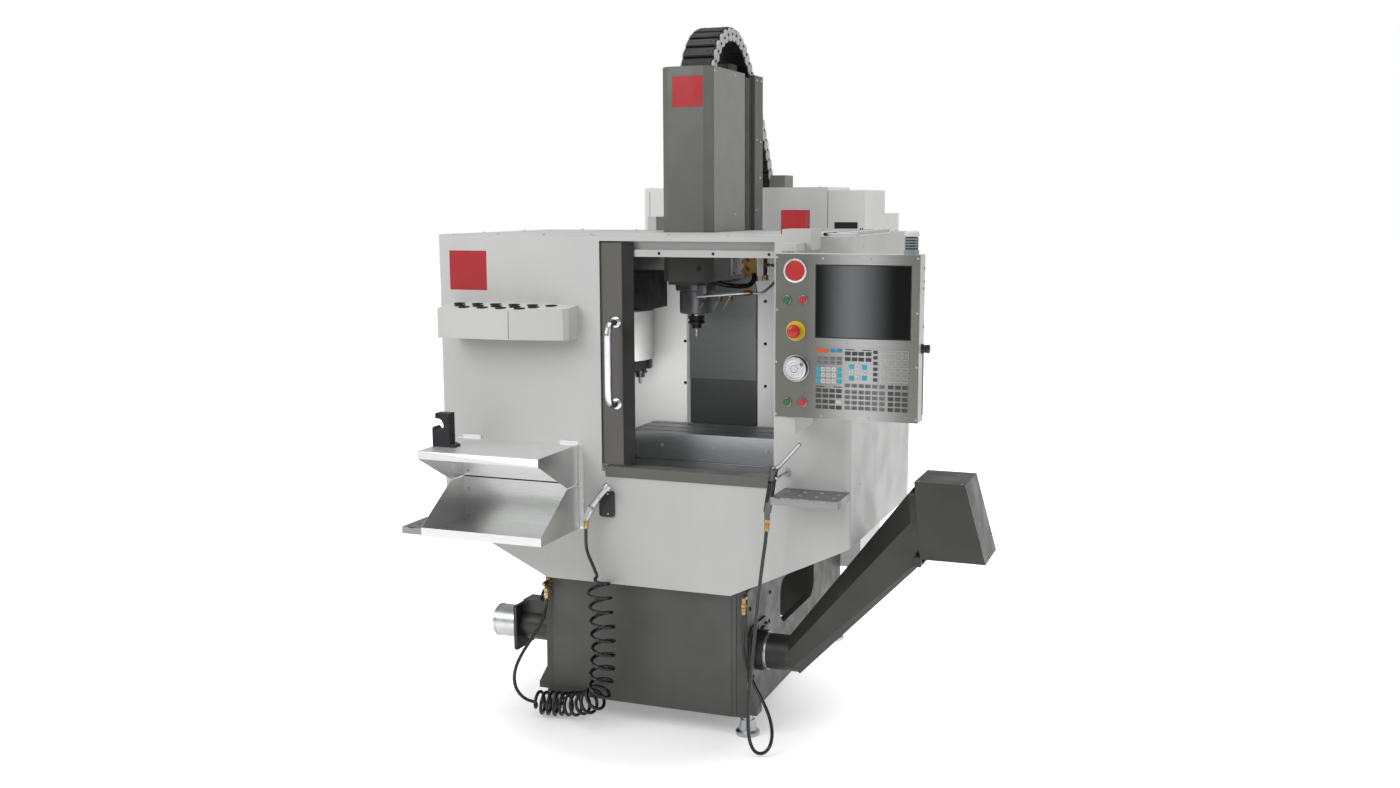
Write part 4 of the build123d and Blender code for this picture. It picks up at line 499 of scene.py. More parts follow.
darkKey = plastic("darkKey", (62, 62, 63), (52, 52, 53), 0.42)
outlineKey = plastic("outlineKey", (196, 197, 196), (184, 185, 184), 0.4)
carrierPlate = plastic("carrierPlate", (206, 207, 208), (184, 185, 186), 0.34)
seamShade = plastic("seamShade", (140, 140, 138), (128, 128, 126), 0.5)
beaconLens = plastic("beaconLens", (150, 158, 162), (128, 136, 140), 0.12, 400.0, 0.02, Coat_Weight=0.6)
beaconBand = plastic("beaconBand", (66, 72, 76), (56, 62, 66), 0.16)
clearPane = clearSheet("clearPane", (236, 240, 240), (228, 233, 233))
# Painted reflection on the screen: a soft light band across the black glass.
screenPaintedReflection = ((0.0, (8, 8, 9)), (0.38, (116, 118, 119)), (0.86, (8, 8, 9)), (1.0, (8, 8, 9)))
screenGlass = paintedReflectionScreen("paintedReflectionScreen", screenPaintedReflection, pendant["screen"] - pendant["screenWidth"] / 2,
                         pendant["screen"] + pendant["screenWidth"] / 2)


def dress(name, base, *patches):
    # Each patch is (finish, rule), and its rule takes face centres in machine millimetres.
    mesh = nodes[name].data
    mesh.materials.clear()
    mesh.materials.append(base)
    if not patches:
        return
    count = len(mesh.polygons)
    centres = np.zeros(count * 3, np.float32)
    mesh.polygons.foreach_get("center", centres)
    x, y, z = (centres.reshape(-1, 3).astype(float) * 1000 + machineOrigin).T
    index = np.zeros(count, np.int32)
    for finish, rule in patches:
        mesh.materials.append(finish)
        index[rule(x, y, z)] = len(mesh.materials) - 1
    mesh.polygons.foreach_set("material_index", index)


def near(x, y, centre, radius):
    # Where (x, y) lies less than the radius from the centre.
    return np.hypot(x - centre[0], y - centre[1]) < radius


plainFinishes = (
    (lightPaint, "front_panel body_panels chip_pan door_track pendant_arms"), (coverPaint, "door_sill"),
    (clearPane, "door_window"), (chrome, "door_handle"), (trayPaint, "tool_tray"),
    (darkSteel, "tool_fixture air_gun_trigger"), (rackSteel, "side_racks"),
    (castingPaint, "base_casting column"), (baseCoverPaint, "base_front_plate"),
    (aluminium, "leveling_feet changer_carriage"), (machineBlack, "auger_tube changer_housing"),
    (groundSteel, "auger_screw"), (chutePaint, "chip_chute"), (lowerCoverSteel, "fixed_way_covers"),
    (sheetSteel, "front_cover_middle"), (coverSteel, "way_cover_middle way_cover_upper"),
    (chainPlastic, "cable_carrier"), (drumPlastic, "carousel_drum"), (screenGlass, "screen"),
    (redCap, "emergency_stop power_off_button feed_hold_button"),
    (greenCap, "power_on_button cycle_start_button"), (zinc, "wash_gun wash_gun_lever"),
    (blackPlastic, "valve_lever"), (rubber, "wash_hose air_hose"))
for finish, names in plainFinishes:
    for name in names.split():
        dress(name, finish)

# The rules below part a solid at a place that lies between its faces, so their numbers need no exactness.
spindleMiddle, beaconMiddle = (0, 590), (1001, -260)
hoodSide = {"top": (1112, 938), "slope": 71 / 255}
onPendant = pendant["front"] - 0.2
dress("roof_panels", lightPaint,
      (coverPaint, lambda x, y, z: (abs(x) < 101) & (y > 970)),
      (redPaint, lambda x, y, z: (x > 423) & (x < 510) & (y < 363) & (z > 1724.5)))
# Painted shade on the hood's right side, past the sloping line in hoodSide.
dress("discharge_hood", chutePaint,
      (paintedShadeHoodSide, lambda x, y, z: x > hoodSide["top"][0] + (hoodSide["top"][1] - z) * hoodSide["slope"]))
# Painted light on the shelf's top faces.
dress("shelf_unit", sheetSteel, (paintedLightShelfTop, lambda x, y, z: (z > 990) & (y < -3)))
# Painted light on the head cover's right side.
dress("head_cover", coverPaint, (paintedLightCoverSide, lambda x, y, z: x > 98.5))
dress("beacon", beaconLens,
      (whitePlastic, lambda x, y, z: z > 1733),
      (beaconBand, lambda x, y, z: near(x, y, beaconMiddle, 20.4) & (z < 1733)))
# Painted shade on the door frame's angled fold.
dress("door_frame", doorPaint, (paintedShadeDoorFold, lambda x, y, z: x > -45.8))
dress("air_gun", gunMetal, (zinc, lambda x, y, z: z > 985))
dress("auger_drive", chutePaint,
      (machineBlack, lambda x, y, z: (x < -519.5) & (x > -532.5)),
      (aluminium, lambda x, y, z: x < -532.2))
dress("head_casting", castingPaint,
      (machineBlack, lambda x, y, z: z > 1801),
      (noseSteel, lambda x, y, z: near(x, y, spindleMiddle, 78.5) & (z < 1529.2)))
dress("spindle_shaft", groundSteel,
      (darkSteel, lambda x, y, z: (z < 1410) & (z > 1362.5)),
      (chrome, lambda x, y, z: z < 1362.5))
dress("carousel_disc", machineBlack,
      (groundSteel, lambda x, y, z: z < 1190),
      (chrome, lambda x, y, z: z < 1150))
# The pendant face's base finish carries the painted reflection.
dress("pendant_face", pendantSteelPaintedSheen,
      (yellowPlate, lambda x, y, z: near(x, z, pendant["stop"], 31) & (y < onPendant)),
      (bezelSteel, lambda x, y, z: (y < onPendant) & (x < 700) & (
          (abs(z - pendant["buttonRows"][0]) < 17) | (abs(z - pendant["buttonRows"][1]) < 17))),
      (redCap, lambda x, y, z: near(x, z, pendant["badge"], 36) & (y < onPendant)))
dress("pendant_case", lightPaint,
      (blackPlastic, lambda x, y, z: x > 1036.5))
dress("jog_wheel", aluminium,
      (blackPlastic, lambda x, y, z: ~near(x, z, pendant["wheel"], 35.5) | (y > -303)))
dress("hose_fittings", brass,
      (machineBlack, lambda x, y, z: (z > 700) & (x < 0)),
      (zinc, lambda x, y, z: (z > 700) & (x > 0)))
dress("control_cabinet", cabinetPaint,
      (greyCover, lambda x, y, z: (z > 1893.2) & (x > 50)))
dress("table", tableSteel, (tableFaceSteel, lambda x, y, z: y < 312))
dress("saddle", castingPaint,
      (sheetSteel, lambda x, y, z: (y < 311) & (z < 832)))
dress("axis_drives", groundSteel,
      (machineBlack, lambda x, y, z: ((y < 253) & (abs(x) < 42)) | (z > 2321)))
dress("table_drive", groundSteel,
      (machineBlack, lambda x, y, z: x > 568.5))
dress("coolant_manifold", aluminium,
      (brass, lambda x, y, z: ((z > 1556) & (y > 670) & (y < 699) & (x > 148)) | ((x > 214) & (y < 560))))
for hose in (washHose, airHose):
    hose.data.materials.append(rubber)
print("stage: frame finishes")


def onPlane(facing, level, pairs):
    # Pairs measured on a plane square to the facing's axis, at that level of it.
    at = {"front": 1, "back": 1, "right": 0, "left": 0, "up": 2, "down": 2}[facing]
    return [(*pair[:at], level, *pair[at:]) for pair in pairs]


# Screw heads as (radius, height) corners over the surface, for a head of radius 1.
screwShapes = {
    "button": [(0, -0.3), (1, -0.3), (1, 0.15), (0.86, 0.42), (0.55, 0.56), (0.5, 0.56), (0.46, 0.2),
               (0, 0.2)],
    "cap": [(0, -0.3), (1, -0.3), (1, 0.8), (0.9, 0.95), (0.58, 0.95), (0.54, 0.4), (0, 0.4)],
    "dome": [(0, -0.3), (1, -0.3), (0.96, 0.2), (0.75, 0.5), (0.4, 0.66), (0, 0.72)],
    "plug": [(0, -0.3), (1, -0.3), (1, 0.12), (0.8, 0.12), (0.78, -0.1), (0.42, -0.1), (0.4, 0.3), (0, 0.3)]}
# Each group: body, slot, finish, shape, radius, facing, the plane it stands on and its places in that plane.
sidePlaces = [(y, z) for y in (130, 840) for z in (905, 1300, 1690)]
screwGroups = {
    "pendantScrews": ("pendant", "chromed", zinc, "button", 3.6, "front", pendant["front"], [
        (603, 1670), (746, 1668), (888, 1666), (1030, 1670), (604, 1512), (1030, 1512), (602, 1355),
        (1030, 1354), (601, 1196), (745, 1197), (888, 1197), (1031, 1199), (818, 1416), (916, 1417)]),
    "pendantSideScrews": ("pendant", "chromed", darkSteel, "button", 3.4, "right", pendant["right"], [
        (-246, 1640), (-242, 1601), (-252, 1582), (-242, 1469)]),
    "rearPanelScrews": ("machine", "ground_steel", darkSteel, "button", 6.5, "front", 870, [
        (181, 1448), (181, 1281), (182, 1113), (-157, 1448), (-157, 1281), (-157, 1113)]),
    "trackScrews": ("machine", "ground_steel", darkSteel, "button", 5.0, "front", 30, [
        (82, 1664), (275, 1664), (469, 1664), (-120, 1664), (-330, 1664), (-540, 1664)]),
    "tableScrews": ("table", "ground_steel", whitePlastic, "button", 6.5, "front", 311, [
        (-29, 958), (171, 958), (372, 958)]),
    "coverScrews": ("head", "ground_steel", zinc, "dome", 5.0, "right", 100, [
        (742, 1785), (742, 2306), (520, 2306)]),
    "columnCoverScrews": ("machine", "ground_steel", zinc, "dome", 5.0, "right", 100, [
        (1003, 2077), (1042, 1929), (993, 1802), (1001, 2308), (1052, 2308), (1048, 2070)]),
    "holderScrews": ("machine", "ground_steel", zinc, "button", 4.0, "front", -8, [(-101, 836), (-101, 766)]),
    "shelfScrews": ("machine", "ground_steel", zinc, "button", 4.6, "front", -2, [
        (-654, 881), (-653, 817), (-655, 716), (-237, 881), (-237, 817), (-237, 716)]),
    "sideScrewsRight": ("machine", "ground_steel", zinc, "button", 4.6, "right", 757, sidePlaces),
    "sideScrewsLeft": ("machine", "ground_steel", zinc, "button", 4.6, "left", -757, sidePlaces),
    "hoodScrews": ("machine", "dark_castings", zinc, "button", 3.6, "up", 938, [
        (964, 76), (1104, 76), (964, 268), (1104, 268)]),
    "baseSideBolts": ("machine", "dark_castings", darkSteel, "dome", 8.0, "right", 385, [
        (313, 448), (303, 343), (303, 220), (92, 448)]),
    "couplingBolts": ("machine", "dark_castings", darkSteel, "cap", 6.0, "right", 393, [
        (96, 207), (244, 207), (96, 355), (244, 355)]),
    "motorBolts": ("machine", "dark_castings", darkSteel, "cap", 5.5, "left", -532, [
        (100, 211), (240, 211), (100, 351), (240, 351)]),
    "roofScrews": ("machine", "ground_steel", zinc, "dome", 5.5, "up", 1724, [
        (-700, 14), (-520, 14), (-340, 14), (-160, 14), (124, 14), (333, 14), (540, 14), (-740, 300),
        (-740, 620), (740, 300), (740, 620), (-600, 856), (-360, 856), (180, 856), (420, 856), (700, 856)]),
    "cabinetScrews": ("machine", "ground_steel", zinc, "dome", 4.5, "up", 1893, [
        (277, 1296), (-479, 1296), (-220, 1296), (277, 1610), (-479, 1610)]),
    "spindleScrews": ("head", "dark_castings", darkSteel, "cap", 3.6, "down", 1505.5, [
        (spindleMiddle[0] + 70.5 * math.cos(k * math.pi / 3 + 0.3),
         spindleMiddle[1] + 70.5 * math.sin(k * math.pi / 3 + 0.3)) for k in range(6)]),
    "headPlug": ("head", "dark_castings", machineBlack, "plug", 10.0, "front", 485, [(51, 1592)]),
    "changerPlug": ("machine", "dark_castings", darkSteel, "plug", 9.0, "front", 520, [(-214, 1502)]),
    "coolantPlateScrews": ("head", "ground_steel", darkSteel, "button", 3.4, "front", 698, [
        (112, 1566), (193, 1566), (112, 1622), (193, 1622)]),
    "backPanelScrews": ("machine", "ground_steel", zinc, "button", 5.0, "back", 872, [
        (-735, 800), (-735, 1200), (-735, 1690), (735, 800), (735, 1200), (735, 1690), (-560, 800),
        (560, 800)])}
for name, (body, slot, finish, shape, radius, facing, level, pairs) in screwGroups.items():
    grid = turnedGrid(np.array(screwShapes[shape]) * radius)
    stamped(name, body, finish, [(grid, frames(onPlane(facing, level, pairs), facing))])
print("stage: screws")


def keyGroup(name, slot, finish, groups, y=-301.2, thick=1.6):
    # Each group is (width, height, corner, list of centres) on the keypad.
    slabs(name, "pendant", slot, finish, "front", *(
        ((*measures, thick), onPlane("front", y, centres)) for *measures, centres in groups))


def rowsOf(xs, zs):
    # Every x in every row, row by row.
    return [(x, z) for z in zs for x in xs]


cursorRows, modeColumns = [1338, 1321, 1303], [735, 756, 777, 798]
numberRows, alphaRows = [1274, 1258, 1241, 1224], [1292, 1273, 1257, 1241, 1225]
sideRows = [1394, 1378, 1361, 1344, 1328, 1312]
lightKeys = rowsOf([748.5, 765, 782], cursorRows) + [(854, 1349), (835, 1330), (875, 1332), (855, 1315)]
greyKeys = rowsOf(modeColumns, [1371, 1358])
alphaKeys = rowsOf([824, 845, 866, 886, 907, 929], alphaRows)
darkNumbers = [spot for spot in rowsOf(modeColumns, numberRows) if spot != (798, 1241)]
keyGroup("orangeKey", "red_cap", orangeKey, [(37, 11, 2, [(745.5, 1394)])])
keyGroup("blueKeys", "red_cap", blueKey, [(17, 11, 2, [(778, 1395), (798, 1395.5)])])
keyGroup("cyanKeys", "red_cap", cyanKey, [(13.5, 14, 3, rowsOf([734, 799], cursorRows)),
                                          (15, 14, 3, [(836, 1349), (875, 1349), (836, 1314), (875, 1316)])])
keyGroup("lightKeys", "white_plastic", lightKey, [(14, 14, 2.5, lightKeys), (17, 11, 2, [(798, 1241)])])
keyGroup("greyKeys", "grey_panels", greyKey, [(17, 10.5, 2, greyKeys), (16.5, 11, 2, alphaKeys)])
keyGroup("darkKeys", "black_plastic", darkKey, [
    (17, 11, 2, darkNumbers), (17, 11.5, 2, rowsOf([824, 845, 865, 887], [1388, 1371])),
    (13, 10, 2, rowsOf([908], sideRows)), (16.5, 11, 2, rowsOf([955, 976, 997], alphaRows))])
outlined = rowsOf([933, 954.5, 976, 997.5], sideRows)
keyGroup("outlinedKeys", "grey_panels", outlineKey, [(19, 11.5, 2, outlined)], thick=1.1)
# The key tops carry the pendant face's painted reflection too.
keyGroup("outlinedKeyTops", "grey_panels", pendantSteelPaintedSheen, [(17, 9.5, 1.5, outlined)], y=-302.2, thick=0.35)
keyGroup("keyMarks", "black_plastic", blackPlastic, [
    (3.4, 3.4, 1.7, lightKeys), (8, 1.6, 0.5, [(x, z + 1.5) for x, z in greyKeys]),
    (6, 1.6, 0.5, [(x, z - 1) for x, z in alphaKeys])], y=-302.8, thick=0.25)
keyGroup("keyBars", "black_plastic", blackPlastic, [(26, 2.6, 1, [(739, 1286), (793.5, 1286)]),
                                                    (29, 2.6, 1, [(830.5, 1399), (881.5, 1399)])], thick=0.5)


def ringGrid(inner, outer, low, high, sides=48, soft=0.6):
    # A ring between two radii and two heights, its upper corners cut by `soft`.
    profile = [(inner, low), (outer, low), (outer, high - soft), (outer - soft, high), (inner + soft, high),
               (inner, high - soft)]
    return turnedGrid(profile, sides)


def onFace(centre):
    # The frame of one piece on the pendant's front.
    return frames([(centre[0], pendant["front"], centre[1])])


# The wheel's rim: the outer radius rises and falls 60 times round the circle, as a knurled grip does.
rimGrid = ringGrid(31, 37.2, 5, 15, 240)
rimTurn = np.arctan2(rimGrid[..., 1], rimGrid[..., 0])
rimReach = np.hypot(rimGrid[..., 0], rimGrid[..., 1])
rimGrid[..., :2] *= np.where(rimReach > 36, 1 - 0.016 * (1 + np.cos(60 * rimTurn)), 1)[..., None]
stamped("wheelRim", "wheel", darkSteel, [(rimGrid, onFace(pendant["wheel"]), True)], 25)
stamped("wheelScale", "pendant", aluminium,
        [(ringGrid(36, 41, -0.3, 1.4), onFace(pendant["wheel"]), True)])
stamped("wheelRings", "wheel", chrome,
        [(ringGrid(13, 15, 15, 17.4, 40, 0.4), onFace(pendant["wheel"]), True),
         (ringGrid(23.5, 25, 15, 16.6, 40, 0.3), onFace(pendant["wheel"]), True)])
stamped("badgeRing", "pendant", chrome,
        [(ringGrid(30.5, 36, -0.3, 3.2), onFace(pendant["badge"]), True)])
stamped("stopCollar", "pendant", darkSteel,
        [(ringGrid(11, 15, 0.7, 6), onFace(pendant["stop"]), True)])
slabs("screenSeal", "pendant", "black_plastic", blackPlastic, "front",
      ((289, 2.4, 1, 1.2), [(pendant["screen"], -298.6, 1432.6), (pendant["screen"], -298.6, 1648.4)]),
      ((2.4, 218, 1, 1.2), [(723.6, -298.6, 1540.5), (1010.4, -298.6, 1540.5)]))
slabs("pendantSideSeal", "pendant", "black_plastic", blackPlastic, "right",
      ((9, 190, 2, 1.5), [(pendant["right"], -238, 1300)]))
plugFrame = frames([(pendant["right"], -260, 1405)], "right")
stamped("pendantPlug", "pendant", blackPlastic, [
    (turnedGrid([(0, 15.5), (13, 15.5), (13.6, 20), (12, 24), (8, 25), (0, 25)], 8), plugFrame),
    (ringGrid(12, 16, -0.3, 5, 6, 0.5), plugFrame, True)])
print("stage: pendant")

# Plain red plates on the front and on the head cover.
slabs("frontLabel", "machine", "red_cap", redPaint, "front", ((148, 138, 2, 0.6, 0.2), [(-634, 0, 1599)]))
slabs("coverLabel", "head", "red_cap", redPaint, "front", ((118, 110, 1, 0.6, 0.2), [(8, 485, 2231)]))


# The carrier's chain in millimetres and degrees: its arc and ends, then the plates and parts of a link.
chain = {"pitch": 45.0, "radius": 220.0, "y": 825.0, "z": 2246.0, "low": 1860.0, "leave": 42.0,
         "foot": 1893.0, "sag": 1.6, "plate": (52, 46), "side": 60.5, "stagger": 0.9, "pin": 21, "outer": 25,
         "dot": 38}


def chainLinks(chain):
    # The carrier rises, runs round an arc and falls back in a slack line, one link pitch at a time.
    pitch, radius = chain["pitch"], chain["radius"]
    points = [(chain["y"] - radius, z) for z in np.arange(chain["low"], chain["z"], pitch)]
    length = points[-1][1] + pitch - chain["z"]
    while length / radius < math.radians(180 - chain["leave"]):
        angle = math.pi - length / radius
        points.append((chain["y"] + radius * math.cos(angle), chain["z"] + radius * math.sin(angle)))
        length += pitch
    y, z = points[-1]
    slope = math.radians(chain["leave"] - 88)
    while z + pitch * math.sin(slope) > chain["foot"] + 6:
        y += pitch * math.cos(slope)
        z += pitch * math.sin(slope)
        slope -= math.radians(chain["sag"])
        points.append((y, z))
    return np.array(points)


chainPoints = chainLinks(chain)
chainRun = np.diff(chainPoints, axis=0)
chainRun /= np.linalg.norm(chainRun, axis=1)[:, None]
flat = np.zeros(len(chainRun))
linkAlong = np.column_stack([flat, chainRun])
linkOut = np.column_stack([flat, -chainRun[:, 1], chainRun[:, 0]])
across = np.tile([1.0, 0, 0], (len(chainRun), 1))
linkCentre = np.column_stack([flat, (chainPoints[1:] + chainPoints[:-1]) / 2])
outerFace = (linkCentre + linkOut * chain["outer"], np.stack([across, -linkAlong, linkOut], 1))
plateOut = (chain["side"] + chain["stagger"] * (np.arange(len(flat)) % 2))[:, None]
plateFrames = [
    (linkCentre + across * sign * plateOut, np.stack([linkAlong * sign, linkOut, across * sign], 1))
    for sign in (-1, 1)]
# A link plate: a rounded rectangle whose height is multiplied by 1 + 0.09 cos(2 pi x / width).
lobe = slabGrid(*chain["plate"], 22.9, 4.0, 1.2, 0.5, 7)
lobe[..., 1] *= 1 + 0.09 * np.cos(lobe[..., 0] / chain["plate"][0] * 2 * np.pi)
pin = turnedGrid([(0, 3), (5.5, 3), (5.5, 6.2), (4.5, 7), (0, 7)], 10)
dot = turnedGrid([(0, 2.9), (3.6, 2.9), (3.6, 3.9), (3.0, 4.2), (1.6, 4.2), (1.4, 3.6), (0, 3.6)], 10)
stamped("carrierPlates", "machine", carrierPlate, [(lobe, plate) for plate in plateFrames])
stamped("carrierPins", "machine", blackPlastic, [
    (pin, (spots + linkAlong * chain["pin"], bases)) for spots, bases in plateFrames])
stamped("carrierBars", "machine", chainPlastic, [
    (slabGrid(112, 33, 4, 3.2, 1.4, 0.5), outerFace)])
stamped("carrierDots", "machine", blackPlastic, [
    (dot, (outerFace[0] + across * side, outerFace[1])) for side in (-chain["dot"], chain["dot"])])
print("stage: cable carrier")

coolant = {
    "hose": [(196, 690, 1566), (197, 686, 1540), (186, 664, 1522), (156, 638, 1519), (118, 616, 1524),
             (76, 600, 1535)],
    "line": [(238, 523.4, 1505), (262, 523, 1502), (284, 526, 1505), (312, 540, 1530), (326, 566, 1552),
             (322, 610, 1578), (300, 660, 1592), (268, 694, 1598), (248, 700, 1598)],
    "riser": [(236, 700, 1556), (236, 700, 1580), (236, 700, 1600), (236, 700, 1625)],
    "jets": [[(x - 24, y, z), (x - 28, y + 1, z - 7), (x - 36, y + 4, z - 21)]
             for x, y, z in ((72, 506.8, 1450.8), (127, 515, 1455.5), (165, 520.7, 1458.8))]}
stamped("coolantHose", "head", rubber, [
    (tubeGrid(roundedPath(coolant["hose"]), 9.5), wholeFrame),
    (tubeGrid(roundedPath(coolant["riser"]), 7.5), wholeFrame)])
stamped("coolantLine", "head", zinc, [
    (tubeGrid(roundedPath(coolant["line"]), 5.0, 12, (0.3, -0.5, 1)), wholeFrame)])
nut = np.array([(0, 0), (9, 0), (10.5, 1.2), (10.5, 8.8), (9, 10), (8, 10), (8, 16), (6.5, 18), (0, 18)])
wideNut, plainNut, shortNut = (turnedGrid(nut * size, 6) for size in ([1.25, 1], [1, 1], [1.2, 0.8]))
stamped("coolantNuts", "head", brass, [
    (wideNut, frames([(236, 700, 1622), (236, 700, 1540)], "up")),
    (wideNut, frames([(236, 700, 1560)], "down")),
    (plainNut, frames([(230, 523.4, 1504.6)], "right")),
    (plainNut, frames([(232, 700, 1598)], "right")),
    (shortNut, frames([(68, 500, 1480), (123, 508.5, 1485), (161, 514, 1488)], "down"))])
slabs("coolantArm", "head", "aluminium_parts", aluminium, "front",
      ((44, 20, 3, 3), [(216, 701, 1636), (216, 701, 1546)]))
stamped("coolantJets", "head", zinc, [
    (tubeGrid(jet, [3.4, 3.2, 2.2]), wholeFrame) for jet in coolant["jets"]])

# The end mill: radius 5.2 + 1.5 sqrt(max(0, cos(2 (a - twist)))), the twist being 0.19 for each millimetre
# above `zero`.
mill = {"low": 1332.2, "high": 1364, "tip": 1332.6, "core": 5.2, "flute": 1.5, "twist": 0.19, "zero": 1332,
        "sides": 32}
millHeight = np.linspace(mill["low"], mill["high"], 24)[:, None]
millTurn = 2 * np.pi * np.arange(mill["sides"]) / mill["sides"]
millWave = np.cos(2 * (millTurn - mill["twist"] * (millHeight - mill["zero"])))
millReach = mill["core"] + mill["flute"] * np.maximum(0, millWave) ** 0.5
millRings = np.stack([spindleMiddle[0] + millReach * np.cos(millTurn),
                      spindleMiddle[1] + millReach * np.sin(millTurn),
                      np.broadcast_to(millHeight, millReach.shape)], -1)
millEnds = [np.tile([*spindleMiddle, z], (1, mill["sides"], 1)) for z in (mill["tip"], mill["high"])]
stamped("endMill", "spindle", chrome,
        [(np.concatenate([millEnds[0], millRings, millEnds[1]]), wholeFrame)], 50)
print("stage: head")


def hoseEnd(spot, beyond):
    # The frame of a ferrule: its third direction leaves the fitting along the hose.
    w = np.subtract(beyond, spot) / math.dist(beyond, spot)
    u = np.cross([0.0, 1.0, 0.0], w) if abs(w[1]) < 0.9 else np.array([1.0, 0, 0])
    u /= np.linalg.norm(u)
    return np.array([spot], float), np.stack([u, np.cross(w, u), w])[None]


hoseEnds = [hoseEnd(*washHoseRoute["lead"][:2]), hoseEnd(*airHoseRoute["points"][:2]),
            hoseEnd(*washHoseRoute["back"][:-3:-1]), hoseEnd(*airHoseRoute["points"][:-3:-1])]
ferrule = turnedGrid([(0, -9), (9.4, -9), (10.4, -8), (10.4, 3), (9.4, 4), (8.2, 4), (0, 4)], 6)
sleeve = turnedGrid([(0, 3), (7.6, 3), (8.4, 5), (8.4, 13), (7.6, 14), (7.6, 17), (8.4, 18), (8.4, 26),
                     (7.2, 30), (6.15, 31), (6.15, 28), (0, 28)], 20)
stamped("hoseFerrules", "machine", brass, [
    (shape, end) for shape in (ferrule, sleeve) for end in hoseEnds])

footNut = turnedGrid([(0, 0), (20, 0), (21, 1.5), (21, 14), (19, 16), (0, 16)], 6)
stamped("footNuts", "machine", zinc, [
    (footNut, frames([(x, y, 60) for x in (-377, 377) for y in (92, 1215)], "up"))])
stamped("hoodLatch", "machine", machineBlack, [
    (slabGrid(26, 34, 4, 10, 2), frames([(966, 78, 672), (966, 262, 672)])),
    (slabGrid(190, 12, 2, 4, 1), frames([(960, 172, 690)], "left"))])
tubeMiddle = (170, 281)
stamped("tubeClamp", "machine", zinc, [
    (ringGrid(61.6, 64.5, 0, 9, 64), frames([(425, *tubeMiddle)], "right"), True)])
stamped("clampScrew", "machine", zinc, [
    (turnedGrid([(0, -9), (4.5, -9), (4.5, 9), (3.5, 10), (0, 10)], 8), frames([(429.5, 170, 350)]))])
stamped("motorCapRibs", "machine", aluminium, [
    (ringGrid(59.6, 61.4, x, x + 5, 64), frames([(-532, *tubeMiddle)], "left"), True) for x in (8, 92)])
motorCable = [(-466, 182, 376), (-462, 196, 404), (-440, 216, 430), (-404, 236, 440), (-378, 246, 442)]
stamped("motorCable", "machine", rubber, [
    (tubeGrid(roundedPath(motorCable), 6.0), wholeFrame)])
slabs("shelfTabs", "machine", "stainless", sheetSteel, "front",
      ((74, 14, 2, 2), [(-635, 0, 1006), (-250, 0, 1006)]),
      ((17, 300, 2, 2), [(-206, 0, 853), (-684, 0, 853)]))
slabs("traySeam", "machine", "grey_panels", seamShade, "front", ((1.6, 96, 0.5, 0.5), [(-409, -128.2, 1422)]))
slabs("cabinetSlots", "machine", "black_plastic", blackPlastic, "front",
      ((98, 26, 2, 1), [(393, 1280, 1737)]), ((5, 20, 2, 1), [(455, 1280, 1716), (463, 1280, 1716)]),
      ((2, 150, 0.8, 0.6), [(315, 1280, 1802), (-480, 1280, 1802)]))
slabs("roofDuct", "machine", "light_panels", lightPaint, "up",
      ((46, 560, 3, 11, 1.5), [(688, 420, 1724)]), ((118, 30, 3, 9, 1.5), [(690, 92, 1724)]))
stamped("roofCable", "machine", rubber, [
    (tubeGrid(roundedPath(onPlane("up", 1730, [(648, 60), (650, 200), (652, 430), (650, 700)])), 5.0),
     wholeFrame)])

slabs("tableApron", "table", "ground_steel", tableFaceSteel, "front",
      ((724, 70, 2, 2), [(203, 310.5, 869)]), ((724, 5, 1, 4), [(203, 310.5, 903)]))
slabs("shelfSlit", "machine", "black_plastic", blackPlastic, "front", ((452, 5, 1, 0.6), [(-445, -2, 861)]))
# Black cups in the tray's holes are painted shade that makes the holes dark. They stand in rows of (count,
# first x, y) on the tray's top, which falls towards the front.
tray = {"rows": ((6, -655, -28), (5, -632, -64), (4, -598, -95)), "pitch": 72, "back": -19, "top": 1486,
        "fall": (14, 141)}
fall, depth = tray["fall"]
traySpots = [(start + tray["pitch"] * k, y, tray["top"] - (tray["back"] - y) * fall / depth)
             for count, start, y in tray["rows"] for k in range(count)]
shadeCup = [(0, -96), (19.6, -96), (19.6, 0.6), (19.0, 1.0), (18.4, 0.6), (18.4, -94), (0, -94)]
stamped("trayHoleShadeCups", "machine", blackPlastic, [
    (turnedGrid(shadeCup, 28), frames(traySpots, "up"))])
# The collar between chute and hood: a rounded rectangle's outline, with an inner wall 0.95 times as wide.
collar = {"outline": (146, 236, 8), "inner": 0.95, "levels": (-2, -2, 24, 24), "spot": (941.0, 170, 768),
          "lean": (0.0937, 0.9956)}
collarRing = slabGrid(*collar["outline"], 1)[[1, 2, 2, 1]]
collarRing[[0, 3], :, :2] *= collar["inner"]
collarRing[..., 2] = np.array(collar["levels"])[:, None]
sine, cosine = collar["lean"]
collarBase = np.array([[[0, 1, 0], [-sine, 0, cosine], [cosine, 0, sine]]])
stamped("hoodCollar", "machine", chutePaint, [
    (collarRing, (np.array([collar["spot"]]), collarBase), True)])
